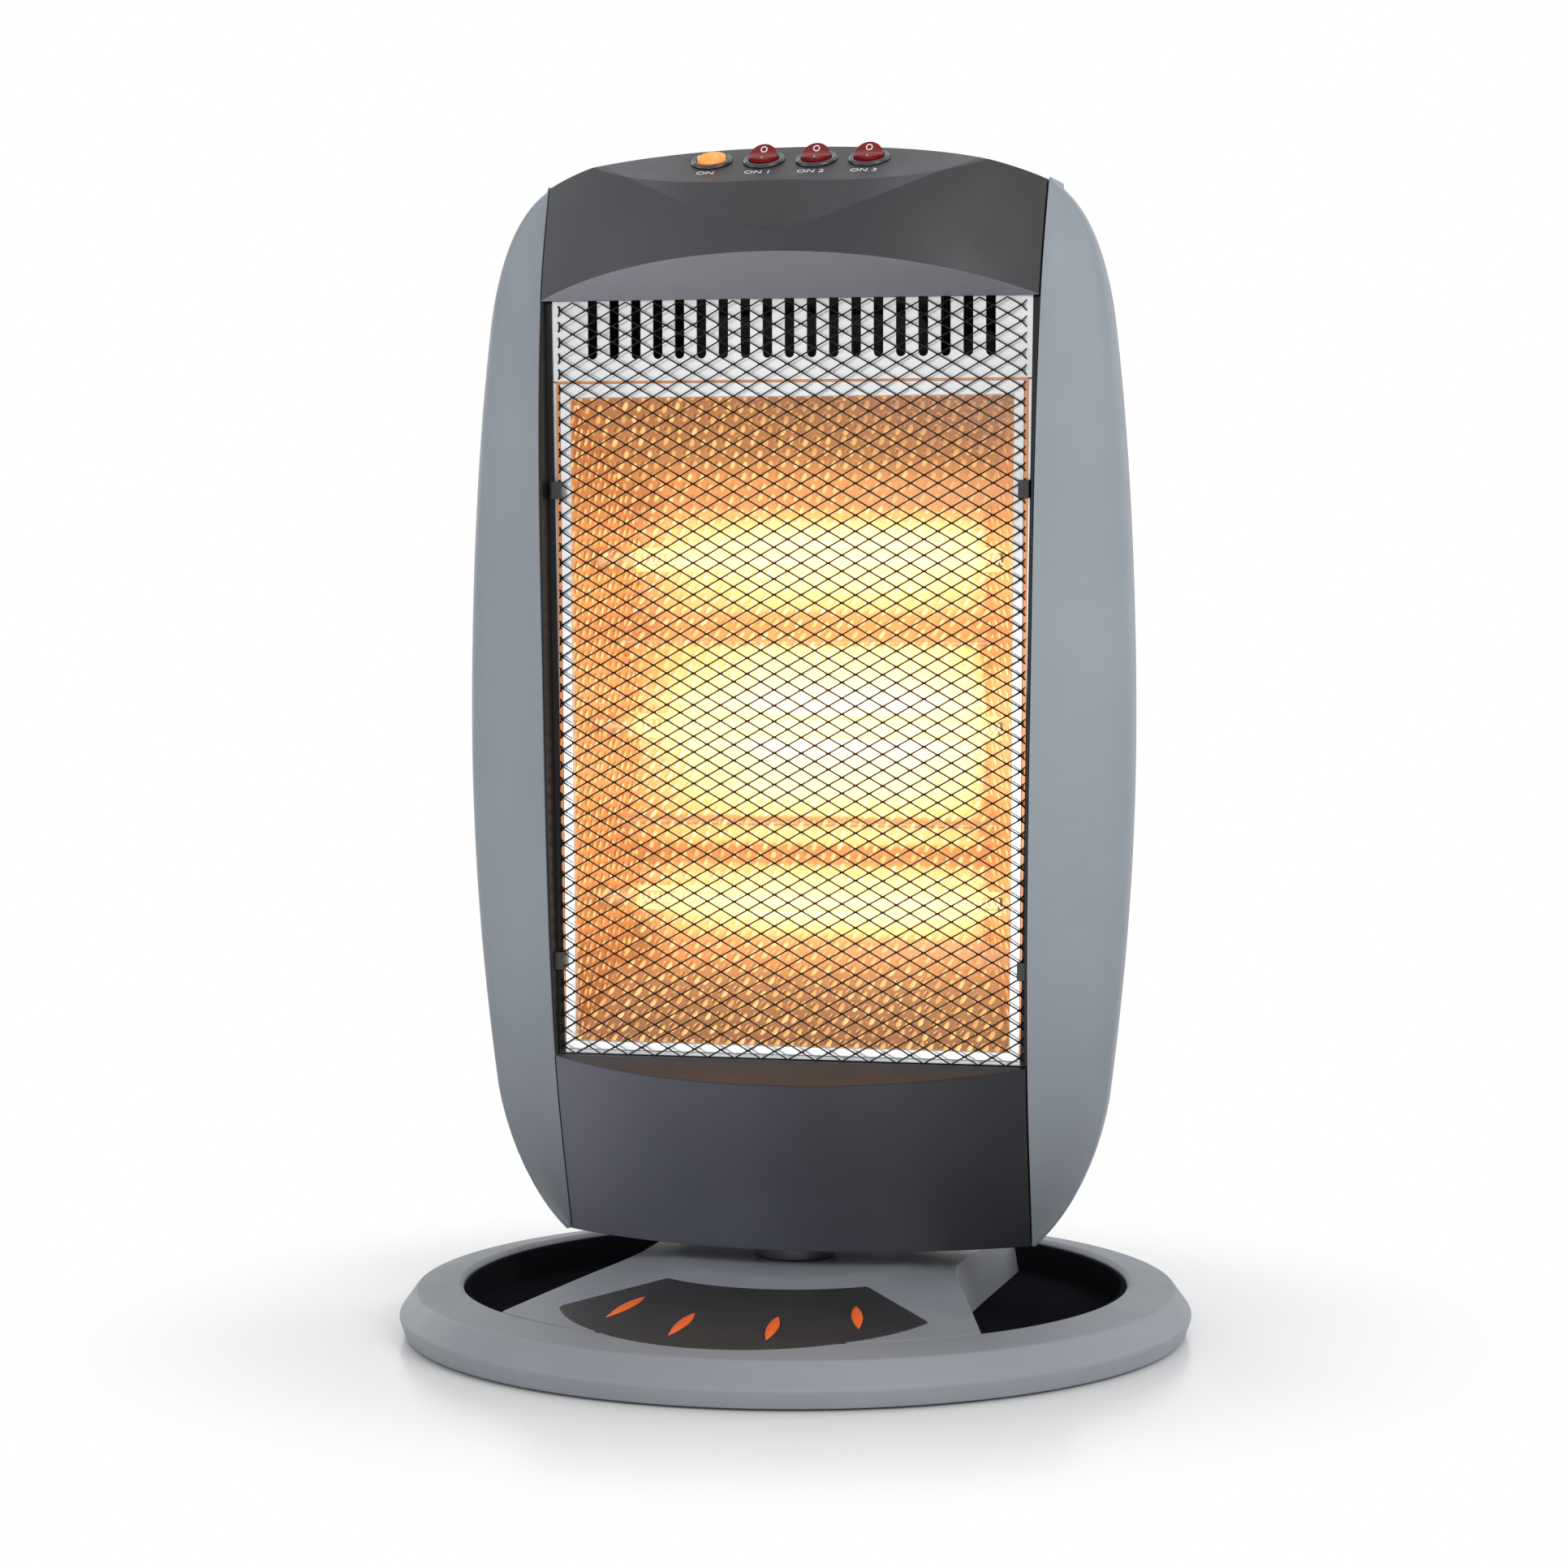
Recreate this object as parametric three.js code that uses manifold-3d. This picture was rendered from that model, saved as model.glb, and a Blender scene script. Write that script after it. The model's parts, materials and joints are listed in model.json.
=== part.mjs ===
// Free-standing halogen heater: a swinging head with three quartz tubes on a round base.
// Millimetres, +Z up, the front faces -Y. The origin is the middle of the base, on the floor.
import * as THREE from "three";
import { mergeVertices } from "three/addons/utils/BufferGeometryUtils.js";
import Module from "manifold-3d";

const wasm = await Module();
wasm.setup();

// ---------------------------------------------------------------- driving dimensions
const fitGap = 0.3; // between pieces that touch
const seamGap = 0.7; // the visible groove between head covers
const coverWall = 2.5;
const sheet = 1.2; // sheet steel inside the head

// base
const ringWidestRadius = 165;
const ringBottomRadius = ringWidestRadius - 2.7;
const ringCreaseRadius = ringWidestRadius - 7.3;
const ringInnerRadius = ringWidestRadius - 27;
const footHeight = 3;
const footRadius = 9;
const footCircle = ringInnerRadius + 2;
const plateThickness = 2.8;
const plateRadius = ringBottomRadius - coverWall - 1;
const panWall = 2; // the floor's rim, which lines the ring
const ringWidestHeight = 8.6;
const ringCreaseHeight = 18.7;
const ringInnerHeight = 21.6;
const ringSkirtHeight = 1;
const hubRadius = 50;
const hubHeight = 30.5;
const hubShoulderRadius = 64;
const hubShoulderHeight = 28.4;
const bridgeFrontHalf = 95;
const bridgeWaistHalf = 67;
const bridgeRearHalf = 70;
const bridgeDraft = 5; // how far the flanks spread from the top to the foot
const bridgeSteps = 8; // facets of each end
const inlayThickness = 1.4;
const inlayInnerRadius = 66;
const inlayHalfSpan = 39; // degrees either side of the front
const inlayOuterRadius = 79; // of the outer arc, struck from a point in front of the hub
const inlayFront = ringWidestRadius - 18; // distance of the inlay's front edge from the centre
const inlayCorner = inlayFront - 27; // distance of its two outer corners from the centre
const markLength = 32;
const markWidth = 4.6;
const markSpacing = 17.4; // degrees between the places of the marks
const markFan = 9.4; // degrees between the directions of the marks
const markDistances = [inlayFront - 40, inlayFront - 27, inlayFront - 27, inlayFront - 40];

// swivel
const collarRadius = 17;
const spindleRadius = 9;
const spindleBore = 5;
const spindleFlangeRadius = 18;
const washerRadius = 16;
const washerThickness = 1.1;
const armThickness = 3;
const armHalfWidth = 8;
const nutRadius = 12;
const nutHeight = 5;
const crankOffset = 24; // spindle axis to crank axis
const crankRadius = 13.8; // crank axis to pin axis: asin(13.8 / 24) gives the 35 degree swing
const crankPinRadius = 3;
const slotClearance = 1.2;
const crankDiscRadius = 19;
const crankDiscThickness = 3.5;
const crankShaftRadius = 3.5;
const motorRadius = 23;
const motorHeight = 18;

// head outline
const headBottom = 37;
const headTop = 490;
const headHalfWidth = 140.6;
const widestDepth = 4; // where the sides are widest, behind the base centre
const frontRadius = 168; // of the bowed front, seen from above
const seamHalfBottom = 98.7;
const seamHalfTop = 105.2;
const seamTop = headTop - 14.8;
const coverSplitDepth = 22; // front covers end here and the rear cover begins
const facePlane = -14; // the straight edges of both covers, above and below the grille
const upperEdge = headTop - 63; // underside of the top cover
const lowerEdge = 113.5; // top of the bottom cover
const browRise = 19; // rise of the top cover's lower facet over the bow of the front
const ledgeDrop = 5.7; // fall of the bottom cover's ledge over the bow of the front
const panelSlope = 24.8; // control panel, degrees
const panelFrontDepth = -28;
const panelFrontHeight = headTop - 16.5;
const scoopBottom = headTop - 37.5; // lowest point of the scoop's V
const scoopCorner = headTop - 10; // height of the V's two ends
const scoopHalf = 73;
const scoopSoft = 13; // how far the point of the V is rounded
const scoopSteepness = 2.56; // rise of the scoop for each millimetre that it goes back

// window and elements
const windowHalfTop = 93.2;
const windowHalfBottom = 91.8;
const windowTop = upperEdge - 40;
const windowBottom = lowerEdge + 6;
const frameThickness = 1;
const frameFront = -9;
const frameTop = windowTop + 6.7;
const ventPlateTop = upperEdge + 13;
const ventSlots = 19;
const ventSlotPitch = 9.3;
const ventSlotWidth = 4;
const ventSlotBottom = frameTop + 9.3;
const reflectorSheet = 1;
const reflectorBackHalf = 74.7;
const windowShare = (share) => windowBottom + share * (windowTop - windowBottom);
const tubeHeights = [0.75, 0.49, 0.219].map(windowShare);
const tubeDepth = 12;
const tubeRadius = 5;
const tubeBore = 3.8;
const tubeHalfLength = 95;
const coilRadius = 1.8;
const bracketHalf = 95; // inner faces of the two strips that hold the caps
const capHalf = 7; // half the side of a ceramic cap
const capInner = 89.3;
const capOuter = 104;
const capSeat = 95.5; // the closed end that the tube stops at

// grille
const grilleFront = -13;
const grilleThickness = 0.8;
const grilleHalfWidth = 98.6;
const cellsAcross = 5;
const cellsUp = 14;
const strandWidth = 1.5;
const grilleEdge = 1.6;
const clipHeights = [lowerEdge + 39.5, upperEdge - 78];

// switches
const switchPitch = 22;
const switchRow = 23; // distance from the panel's front edge, up the slope
const bezelRadius = 8.7;
const bezelHeight = 1.6;
const wellRadius = 6.3;
const wellDepth = 7;
const barrelRadius = 7.5;
const barrelDepth = 13;
const rockerRadius = 6;
const rockerPivot = 1; // height of the rocker's axis over the panel
const rockerTilt = 14; // degrees either way
const rockerFace = 20; // each half of the cap rises this much from the middle
const rockerValley = 1; // height of the cap's middle over its axis
const rockerSkirt = 4.8; // depth of the cap under its axis

// rear
const louvreLevels = [130, 195, 260];
const louvrePitch = 13;
const louvreWidth = 3.6;
const louvreLength = 46;
const louvreCount = 11;
const louvreFront = 47; // the cutters of the louvres start here, inside the rear cover
const handleHalfWidth = 48;
const handleHeight = 30;
const handleDepth = 20;
const handleLevel = headTop - 85;
const bushRadius = 6.5;
const bushFlange = 9.5;
const bushLevel = 62;
const bushSide = -62;

// inside the head
const chassisDepth = 44;
const chassisHalf = 94;
const chassisFoot = 24; // depth of the flange that rests on the swivel plate
const chassisLegHalf = 73; // the legs start here, clear of the motor and the cord bush
const swivelPlateHalf = 88;
const swivelPlateFront = 6;
const fittingDepth = 12; // of the terminal block and the tip-over switch
const terminalLength = 28;
const terminalHeight = 11.7;
const tipLength = 22;
const tipHeight = 19.7;
const cutoutSide = 72; // the thermal cut-out stands this far to the right of the middle

const rad = THREE.MathUtils.degToRad;
const roundSegments = 44; // facets round the base

// ---------------------------------------------------------------- solids
function solid(geometry) {
  const bare = geometry.index ? geometry.toNonIndexed() : geometry.clone();
  bare.deleteAttribute("normal");
  bare.deleteAttribute("uv");
  const merged = mergeVertices(bare, 1e-4);
  return new wasm.Manifold(
    new wasm.Mesh({
      numProp: 3,
      vertProperties: new Float32Array(merged.attributes.position.array),
      triVerts: new Uint32Array(merged.index.array),
    }),
  );
}

function geometryOf(manifold) {
  const mesh = manifold.getMesh();
  const geometry = new THREE.BufferGeometry();
  geometry.setAttribute("position", new THREE.BufferAttribute(mesh.vertProperties, 3));
  geometry.setIndex(new THREE.BufferAttribute(mesh.triVerts, 1));
  const flat = geometry.toNonIndexed();
  flat.computeVertexNormals();
  return flat;
}

function box(x0, x1, y0, y1, z0, z1) {
  const geometry = new THREE.BoxGeometry(x1 - x0, y1 - y0, z1 - z0);
  geometry.translate((x0 + x1) / 2, (y0 + y1) / 2, (z0 + z1) / 2);
  return solid(geometry);
}

function extruded(shape, depth, curveSegments = 12) {
  return new THREE.ExtrudeGeometry(shape, { depth, bevelEnabled: false, curveSegments });
}

// A shape drawn in X and Y, standing from z0 to z1.
function prismZ(shape, z0, z1, curveSegments) {
  return solid(extruded(shape, z1 - z0, curveSegments).translate(0, 0, z0));
}

// A shape drawn in Y and Z, running from x0 to x1.
function prismX(shape, x0, x1, curveSegments) {
  const geometry = extruded(shape, x1 - x0, curveSegments);
  const turn = new THREE.Matrix4().set(0, 0, 1, x0, 1, 0, 0, 0, 0, 1, 0, 0, 0, 0, 0, 1);
  return solid(geometry.applyMatrix4(turn));
}

// A shape drawn in X and Z, running from y0 to y1.
function prismY(shape, y0, y1, curveSegments) {
  const geometry = extruded(shape, y1 - y0, curveSegments);
  return solid(geometry.rotateX(Math.PI / 2).translate(0, y1, 0));
}

function polygon(points) {
  return new THREE.Shape(points.map(([a, b]) => new THREE.Vector2(a, b)));
}

// A revolved piece round the Z axis; the profile is a list of [radius, height].
function turned(profile, segments = 24, x = 0, y = 0) {
  const points = [...profile, profile[0]].map(([r, z]) => new THREE.Vector2(r, z));
  const onAxis = profile.filter(([r]) => r === 0).length > 0;
  const outline = onAxis ? points.slice(0, -1) : points;
  const geometry = new THREE.LatheGeometry(outline, segments).rotateX(Math.PI / 2).translate(x, y, 0);
  const made = solid(geometry);
  return made.volume() < 0 ? solid(flipped(geometry)) : made;
}

function flipped(geometry) {
  const index = geometry.index.array;
  for (let i = 0; i < index.length; i += 3) {
    [index[i + 1], index[i + 2]] = [index[i + 2], index[i + 1]];
  }
  return geometry;
}

function disc(radius, z0, z1, x = 0, y = 0, segments = 24) {
  const geometry = new THREE.CylinderGeometry(radius, radius, z1 - z0, segments);
  return solid(geometry.rotateX(Math.PI / 2).translate(x, y, (z0 + z1) / 2));
}

function rodX(radius, x0, x1, y, z, segments = 16) {
  const geometry = new THREE.CylinderGeometry(radius, radius, x1 - x0, segments);
  return solid(geometry.rotateZ(Math.PI / 2).translate((x0 + x1) / 2, y, z));
}

function rodY(radius, y0, y1, x, z, segments = 18) {
  const geometry = new THREE.CylinderGeometry(radius, radius, y1 - y0, segments);
  return solid(geometry.translate(x, (y0 + y1) / 2, z));
}

// A skin through level outlines, all with the same number of points, closed at both ends.
function loft(levels) {
  const count = levels[0].points.length;
  const positions = levels.flatMap(({ z, points }) => points.flatMap((p) => [p.x, p.y, z]));
  const faces = [];
  for (let level = 0; level < levels.length - 1; level++) {
    for (let i = 0; i < count; i++) {
      const a = level * count + i;
      const b = level * count + ((i + 1) % count);
      faces.push(a, b, b + count, a, b + count, a + count);
    }
  }
  const last = (levels.length - 1) * count;
  for (const [a, b, c] of THREE.ShapeUtils.triangulateShape(levels[0].points, [])) {
    faces.push(a, c, b);
  }
  for (const [a, b, c] of THREE.ShapeUtils.triangulateShape(levels.at(-1).points, [])) {
    faces.push(last + a, last + b, last + c);
  }
  const geometry = new THREE.BufferGeometry();
  geometry.setAttribute("position", new THREE.Float32BufferAttribute(positions, 3));
  geometry.setIndex(faces);
  const made = solid(geometry);
  return made.volume() < 0 ? solid(flipped(geometry)) : made;
}

function joined(solids) {
  return solids.reduce((whole, next) => whole.add(next));
}

// ---------------------------------------------------------------- scene graph
const heater = new THREE.Group();
heater.name = "halogen_heater";
const base = new THREE.Group();
base.name = "base";
const head = new THREE.Group();
head.name = "head";
const controlPanel = new THREE.Group();
controlPanel.name = "control_panel";
heater.add(base, head);
head.add(controlPanel);

const finish = (color, roughness, metalness = 0) =>
  new THREE.MeshStandardMaterial({ color, roughness, metalness });
const greyPlastic = finish(0x7d8a92, 0.55);
const darkPlastic = finish(0x3b3c45, 0.6);
const blackPlastic = finish(0x17181a, 0.45);
const galvanised = finish(0xd5d8d8, 0.35, 0.8);
const steel = finish(0x9b9d9f, 0.4, 0.9);

function node(parent, name, made, material) {
  const mesh = new THREE.Mesh(geometryOf(made), material);
  mesh.name = name;
  parent.add(mesh);
  return mesh;
}

// ---------------------------------------------------------------- base
const deckProfile = [
  [0, hubHeight],
  [hubRadius, hubHeight],
  [hubShoulderRadius, hubShoulderHeight],
  [ringInnerRadius, ringInnerHeight],
  [ringCreaseRadius, ringCreaseHeight],
];

// Everything under the top surface of the base, moved up or down by lift.
function underDeck(lift) {
  const top = deckProfile.map(([r, z]) => [r, z + lift]);
  return turned([[0, 0], [ringCreaseRadius, 0], ...top.reverse()], roundSegments);
}

function ringShell() {
  const w = coverWall;
  const skirt = footHeight + plateThickness + fitGap;
  return turned(
    [
      [ringBottomRadius, ringSkirtHeight],
      [ringWidestRadius, ringWidestHeight],
      [ringCreaseRadius, ringCreaseHeight],
      [ringInnerRadius + 1.6, ringInnerHeight - 0.25],
      [ringInnerRadius, ringInnerHeight - 1.6],
      [ringInnerRadius, skirt],
      [ringInnerRadius + w, skirt],
      [ringInnerRadius + w, ringInnerHeight - w],
      [ringCreaseRadius - 1, ringCreaseHeight - w],
      [ringWidestRadius - w, ringWidestHeight],
      [ringBottomRadius - w, ringSkirtHeight],
    ],
    roundSegments,
  );
}

// The bridge seen from above: its two ends follow the ring, and its flanks are drawn in at the waist.
function bridgeOutline(spread) {
  const reach = ringInnerRadius + 1;
  const end = (half, side) => {
    const last = Math.asin((half + spread) / reach);
    const points = [];
    for (let i = 0; i <= bridgeSteps; i++) {
      const angle = side * last * ((2 * i) / bridgeSteps - 1);
      points.push([Math.sin(angle) * reach, -side * Math.cos(angle) * reach]);
    }
    return points;
  };
  const waist = bridgeWaistHalf + spread;
  return [
    ...end(bridgeFrontHalf, 1),
    [waist, -4],
    [waist, 26],
    ...end(bridgeRearHalf, -1),
    [-waist, 26],
    [-waist, -4],
  ].map(([x, y]) => new THREE.Vector2(x, y));
}

function bridgeBlock(inset, bottom) {
  const block = loft([
    { z: bottom, points: bridgeOutline(bridgeDraft - inset) },
    { z: hubHeight + 1, points: bridgeOutline(-inset) },
  ]);
  return block.intersect(underDeck(-inset));
}

function fanShape(grow) {
  const half = rad(inlayHalfSpan);
  const centre = inlayOuterRadius - inlayFront;
  const corner = new THREE.Vector2(Math.sin(half), -Math.cos(half)).multiplyScalar(inlayCorner);
  const reach = Math.atan2(corner.x, -(corner.y - centre));
  const shape = new THREE.Shape();
  const inner = inlayInnerRadius - grow;
  const side = half + grow / inlayFront;
  shape.moveTo(-Math.sin(side) * inner, -Math.cos(side) * inner);
  shape.absarc(0, centre, inlayOuterRadius + grow, -Math.PI / 2 - reach, -Math.PI / 2 + reach, false);
  shape.lineTo(Math.sin(side) * inner, -Math.cos(side) * inner);
  shape.absarc(0, 0, inner, -Math.PI / 2 + side, -Math.PI / 2 - side, true);
  return shape;
}

function leafShape(grow) {
  const half = markLength / 2 + grow;
  const bow = markWidth + 2 * grow;
  const shape = new THREE.Shape();
  shape.moveTo(0, -half);
  shape.quadraticCurveTo(bow, 0, 0, half);
  shape.quadraticCurveTo(-bow, 0, 0, -half);
  return shape;
}

// Each mark leans less than its place round the centre; the outer pair sits a little nearer the hub.
function leafPrism(index, grow) {
  const place = rad((index - 1.5) * markSpacing);
  const lean = rad((index - 1.5) * markFan);
  const distance = markDistances[index];
  const geometry = extruded(leafShape(grow), hubHeight + 5, 5).rotateZ(lean);
  return solid(geometry.translate(Math.sin(place) * distance, -Math.cos(place) * distance, 0));
}

function slab(low, high) {
  return underDeck(high).subtract(underDeck(low));
}

function buildBase() {
  const recess = prismZ(fanShape(fitGap), 0, hubHeight + 9, 16).subtract(underDeck(-inlayThickness));
  const cavity = bridgeBlock(coverWall, ringSkirtHeight - 2);
  const ledge = prismZ(fanShape(coverWall), 0, hubHeight + 9, 16);
  const backing = ledge.intersect(slab(-inlayThickness - coverWall, -inlayThickness));
  const bottom = footHeight + plateThickness + fitGap;
  const bridge = bridgeBlock(0, bottom).subtract(cavity);
  const support = backing.intersect(bridgeBlock(0, bottom));
  const hole = disc(spindleRadius + fitGap, 0, hubHeight + 5);
  const shell = joined([ringShell(), bridge, support]).subtract(recess).subtract(hole);
  node(base, "base_shell", shell, greyPlastic);

  const floor = disc(plateRadius, footHeight, footHeight + plateThickness, 0, 0, roundSegments);
  const rimOuter = ringInnerRadius - 2 * fitGap;
  const rimTop = ringInnerHeight - 2;
  const rim = disc(rimOuter, footHeight, rimTop, 0, 0, roundSegments)
    .subtract(disc(rimOuter - panWall, 0, rimTop + 1, 0, 0, roundSegments))
    .subtract(bridgeBlock(-fitGap, footHeight + plateThickness));
  node(base, "base_plate", floor.add(rim), blackPlastic);

  const marks = [0, 1, 2, 3];
  const leafHoles = joined(marks.map((i) => leafPrism(i, fitGap)));
  const inlay = prismZ(fanShape(0), 0, hubHeight + 9, 16)
    .intersect(slab(-inlayThickness + fitGap, 0.2))
    .subtract(leafHoles);
  node(base, "base_inlay", inlay, finish(0x1f2023, 0.5));
  for (const i of marks) {
    const mark = leafPrism(i, 0).intersect(slab(-inlayThickness + fitGap, 0.7));
    node(base, `base_mark_${i + 1}`, mark, finish(0xff5a1e, 0.4));
  }
  for (const i of marks) {
    const angle = rad(45 + 90 * i);
    const x = footCircle * Math.cos(angle);
    const y = footCircle * Math.sin(angle);
    node(base, `foot_${i + 1}`, disc(footRadius, 0, footHeight - 0.1, x, y, 18), finish(0x111111, 0.9));
  }
}

// ---------------------------------------------------------------- swivel and swing drive
const collarTop = headBottom - 0.6;
const plateLow = headBottom + coverWall + fitGap;
const plateHigh = plateLow + sheet;
const washerLow = plateHigh + fitGap;
const armLow = washerLow + washerThickness + fitGap;
const nutLow = armLow + armThickness + fitGap;
const spindleTop = nutLow + nutHeight + 1;
const discLow = spindleTop + 1;
const discHigh = discLow + crankDiscThickness;
const bracketLow = discHigh + 1.5;
const motorLow = bracketLow + sheet + fitGap;

function buildSwivel() {
  const collar = disc(collarRadius, hubHeight + fitGap, collarTop, 0, 0, 48)
    .subtract(disc(spindleRadius + fitGap, 0, headBottom));
  node(base, "swivel_collar", collar, blackPlastic);

  const flangeTop = hubHeight - coverWall - fitGap;
  const spindle = turned(
    [
      [spindleBore, flangeTop - 3],
      [spindleFlangeRadius, flangeTop - 3],
      [spindleFlangeRadius, flangeTop],
      [spindleRadius, flangeTop],
      [spindleRadius, spindleTop],
      [spindleBore, spindleTop],
    ],
  );
  node(base, "spindle", spindle, steel);

  const bore = disc(spindleRadius + fitGap, 0, headTop);
  const washer = disc(washerRadius, washerLow, washerLow + washerThickness).subtract(bore);
  node(base, "swivel_washer", washer, finish(0xe9e6dc, 0.5));

  const slotHalf = crankPinRadius + slotClearance;
  const slotNear = Math.sqrt(crankOffset ** 2 - crankRadius ** 2) - slotHalf + 1;
  const slotFar = crankOffset + crankRadius + slotHalf;
  const armShape = new THREE.Shape();
  armShape.moveTo(-armHalfWidth, 0);
  armShape.absarc(0, 0, armHalfWidth + 6, Math.PI, 2 * Math.PI, false);
  armShape.lineTo(armHalfWidth, slotFar - 2);
  armShape.lineTo(armHalfWidth - 3, slotFar + 2.5);
  armShape.lineTo(3 - armHalfWidth, slotFar + 2.5);
  armShape.lineTo(-armHalfWidth, slotFar - 2);
  const slot = new THREE.Path();
  slot.absarc(0, slotFar - slotHalf, slotHalf, 0, Math.PI, false);
  slot.absarc(0, slotNear + slotHalf, slotHalf, Math.PI, 2 * Math.PI, false);
  armShape.holes.push(slot);
  const arm = prismZ(armShape, armLow, armLow + armThickness, 10).subtract(bore);
  node(base, "slotted_arm", arm, steel);

  const nut = disc(nutRadius, nutLow, nutLow + nutHeight, 0, 0, 6).subtract(bore);
  node(base, "spindle_nut", nut, steel);
}

function buildSwingDrive() {
  const shaftTop = motorLow + 2;
  const crank = joined([
    disc(crankDiscRadius, discLow, discHigh, 0, crankOffset),
    disc(crankPinRadius, armLow + 0.4, discLow + 1, 0, crankOffset + crankRadius, 16),
    disc(crankShaftRadius, discHigh - 1, shaftTop, 0, crankOffset, 16),
  ]);
  node(head, "swing_crank", crank, finish(0xe4e1d4, 0.5));

  const legX = 40;
  const legLow = plateHigh + fitGap;
  const top = box(-legX, legX, 3, 44, bracketLow, bracketLow + sheet);
  const legs = [-1, 1].map((side) => {
    const inner = side * (legX - sheet);
    const outer = side * legX;
    const foot = side * (legX + 9);
    const x0 = Math.min(inner, outer);
    const leg = box(x0, x0 + sheet, 8, 34, legLow, bracketLow + sheet);
    const toe = box(Math.min(inner, foot), Math.max(inner, foot), 8, 34, legLow, legLow + sheet);
    return leg.add(toe);
  });
  const bracket = joined([top, ...legs]).subtract(disc(crankShaftRadius + 2, 0, headTop, 0, crankOffset));
  node(head, "motor_bracket", bracket, galvanised);

  const motor = disc(motorRadius, motorLow, motorLow + motorHeight, 0, crankOffset, 36)
    .subtract(disc(crankShaftRadius + fitGap, 0, motorLow + 3, 0, crankOffset, 16));
  const gearboxFront = crankOffset - motorRadius - 5;
  const gearbox = box(-8, 8, gearboxFront, gearboxFront + 8, motorLow, motorLow + 10);
  node(head, "swing_motor", motor.add(gearbox), finish(0xc9cccf, 0.35, 0.8));
}

// ---------------------------------------------------------------- head form
const headMiddle = (lowerEdge + upperEdge) / 2;
const inward = (distance) => headHalfWidth - distance;
const upward = (share) => headBottom + share * (seamTop - headBottom);
const headOutline = new THREE.Path();
headOutline.moveTo(inward(37.6), headBottom);
headOutline.bezierCurveTo(inward(28), upward(0.02), inward(16), upward(0.07), inward(10.6), upward(0.137));
headOutline.bezierCurveTo(inward(3.6), upward(0.258), inward(0), upward(0.372), inward(0), upward(0.486));
headOutline.bezierCurveTo(inward(0), upward(0.623), inward(3.6), upward(0.762), inward(9.6), upward(0.874));
headOutline.bezierCurveTo(inward(13.6), upward(0.938), inward(22.6), upward(0.984), inward(37.6), seamTop);

const crownOutline = new THREE.Path();
crownOutline.moveTo(inward(37.6), seamTop);
crownOutline.bezierCurveTo(inward(60.6), headTop - 5, inward(95.6), headTop, 0, headTop);

function cubic(knots) {
  const curve = new THREE.CubicInterpolant(
    knots.map(([z]) => z),
    knots.map(([, value]) => value),
    1,
    new Float64Array(1),
  );
  return (z) => curve.evaluate(z)[0];
}

// Depth of the front edge of the side panels and of the rear face, by height.
const seamDepth = cubic([
  [headBottom, 6],
  [lowerEdge, facePlane],
  [headMiddle, -22],
  [upperEdge, facePlane],
  [seamTop, 2],
  [headTop + 6, 12],
]);
const rearDepth = cubic([
  [headBottom, 50],
  [lowerEdge, 54],
  [headMiddle, 57],
  [upperEdge, 52],
  [seamTop, 38],
  [headTop + 6, 28],
]);

function seamHalf(z) {
  const share = (z - headBottom) / (seamTop - headBottom);
  return seamHalfBottom + share * (seamHalfTop - seamHalfBottom);
}

const bow = (x) => frontRadius - Math.sqrt(frontRadius ** 2 - x ** 2);
const frontMiddle = (z) => seamDepth(z) - bow(seamHalf(z));

const reach = 130; // of the blocks that trim the covers, past every side of them
const scoopSteps = 16;
const centreHeights = [
  ...[0, 0.2, 0.43, 0.7].map((share) => headBottom + share * (lowerEdge - headBottom)),
  ...[0, 0.12, 0.28, 0.5, 0.72, 0.9].map((share) => lowerEdge + share * (upperEdge - lowerEdge)),
  ...[0, 18, 29, 38, 48, 58, 68].map((rise) => upperEdge + rise),
];

// The body between the two seams, drawn in by inset all round.
function centreBody(inset, arcSteps = 12) {
  return loft(
    centreHeights.map((z) => {
      const half = seamHalf(z) - seamGap / 2 - inset;
      const points = [];
      for (let i = 0; i <= arcSteps; i++) {
        const x = -half + (2 * half * i) / arcSteps;
        points.push(new THREE.Vector2(x, frontMiddle(z) + inset * 1.05 + bow(x)));
      }
      points.push(new THREE.Vector2(half, rearDepth(z) - inset));
      points.push(new THREE.Vector2(-half, rearDepth(z) - inset));
      return { z: z === headBottom ? z + inset : z, points };
    }),
  );
}

// Everything under the crown of the head, lowered by inset.
function underCrown(inset) {
  const arc = crownOutline.getPoints(8).map((p) => [p.x, p.y - inset]);
  const shoulder = seamTop - 12 - inset;
  const left = arc.map(([x, z]) => [-x, z]);
  const right = arc.slice(0, -1).reverse();
  const outline = [[reach, shoulder], [reach, 0], [-reach, 0], [-reach, shoulder], ...left, ...right];
  return prismY(polygon(outline), -reach, reach);
}

// Everything under the plane of the control panel.
function underPanel(inset) {
  const slope = Math.tan(rad(panelSlope));
  const low = panelFrontHeight - inset / Math.cos(rad(panelSlope));
  const at = (y) => low + (y - panelFrontDepth) * slope;
  const outline = [[-reach, 0], [reach, 0], [reach, at(reach)], [-reach, at(-reach)]];
  return prismX(polygon(outline), -reach, reach);
}

// Height of the V that the scoop cuts into the bowed front.
function scoopEdge(x) {
  const lift = (distance) => Math.hypot(distance, scoopSoft) - scoopSoft;
  return scoopBottom + ((scoopCorner - scoopBottom) * lift(x)) / lift(scoopHalf);
}

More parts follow.
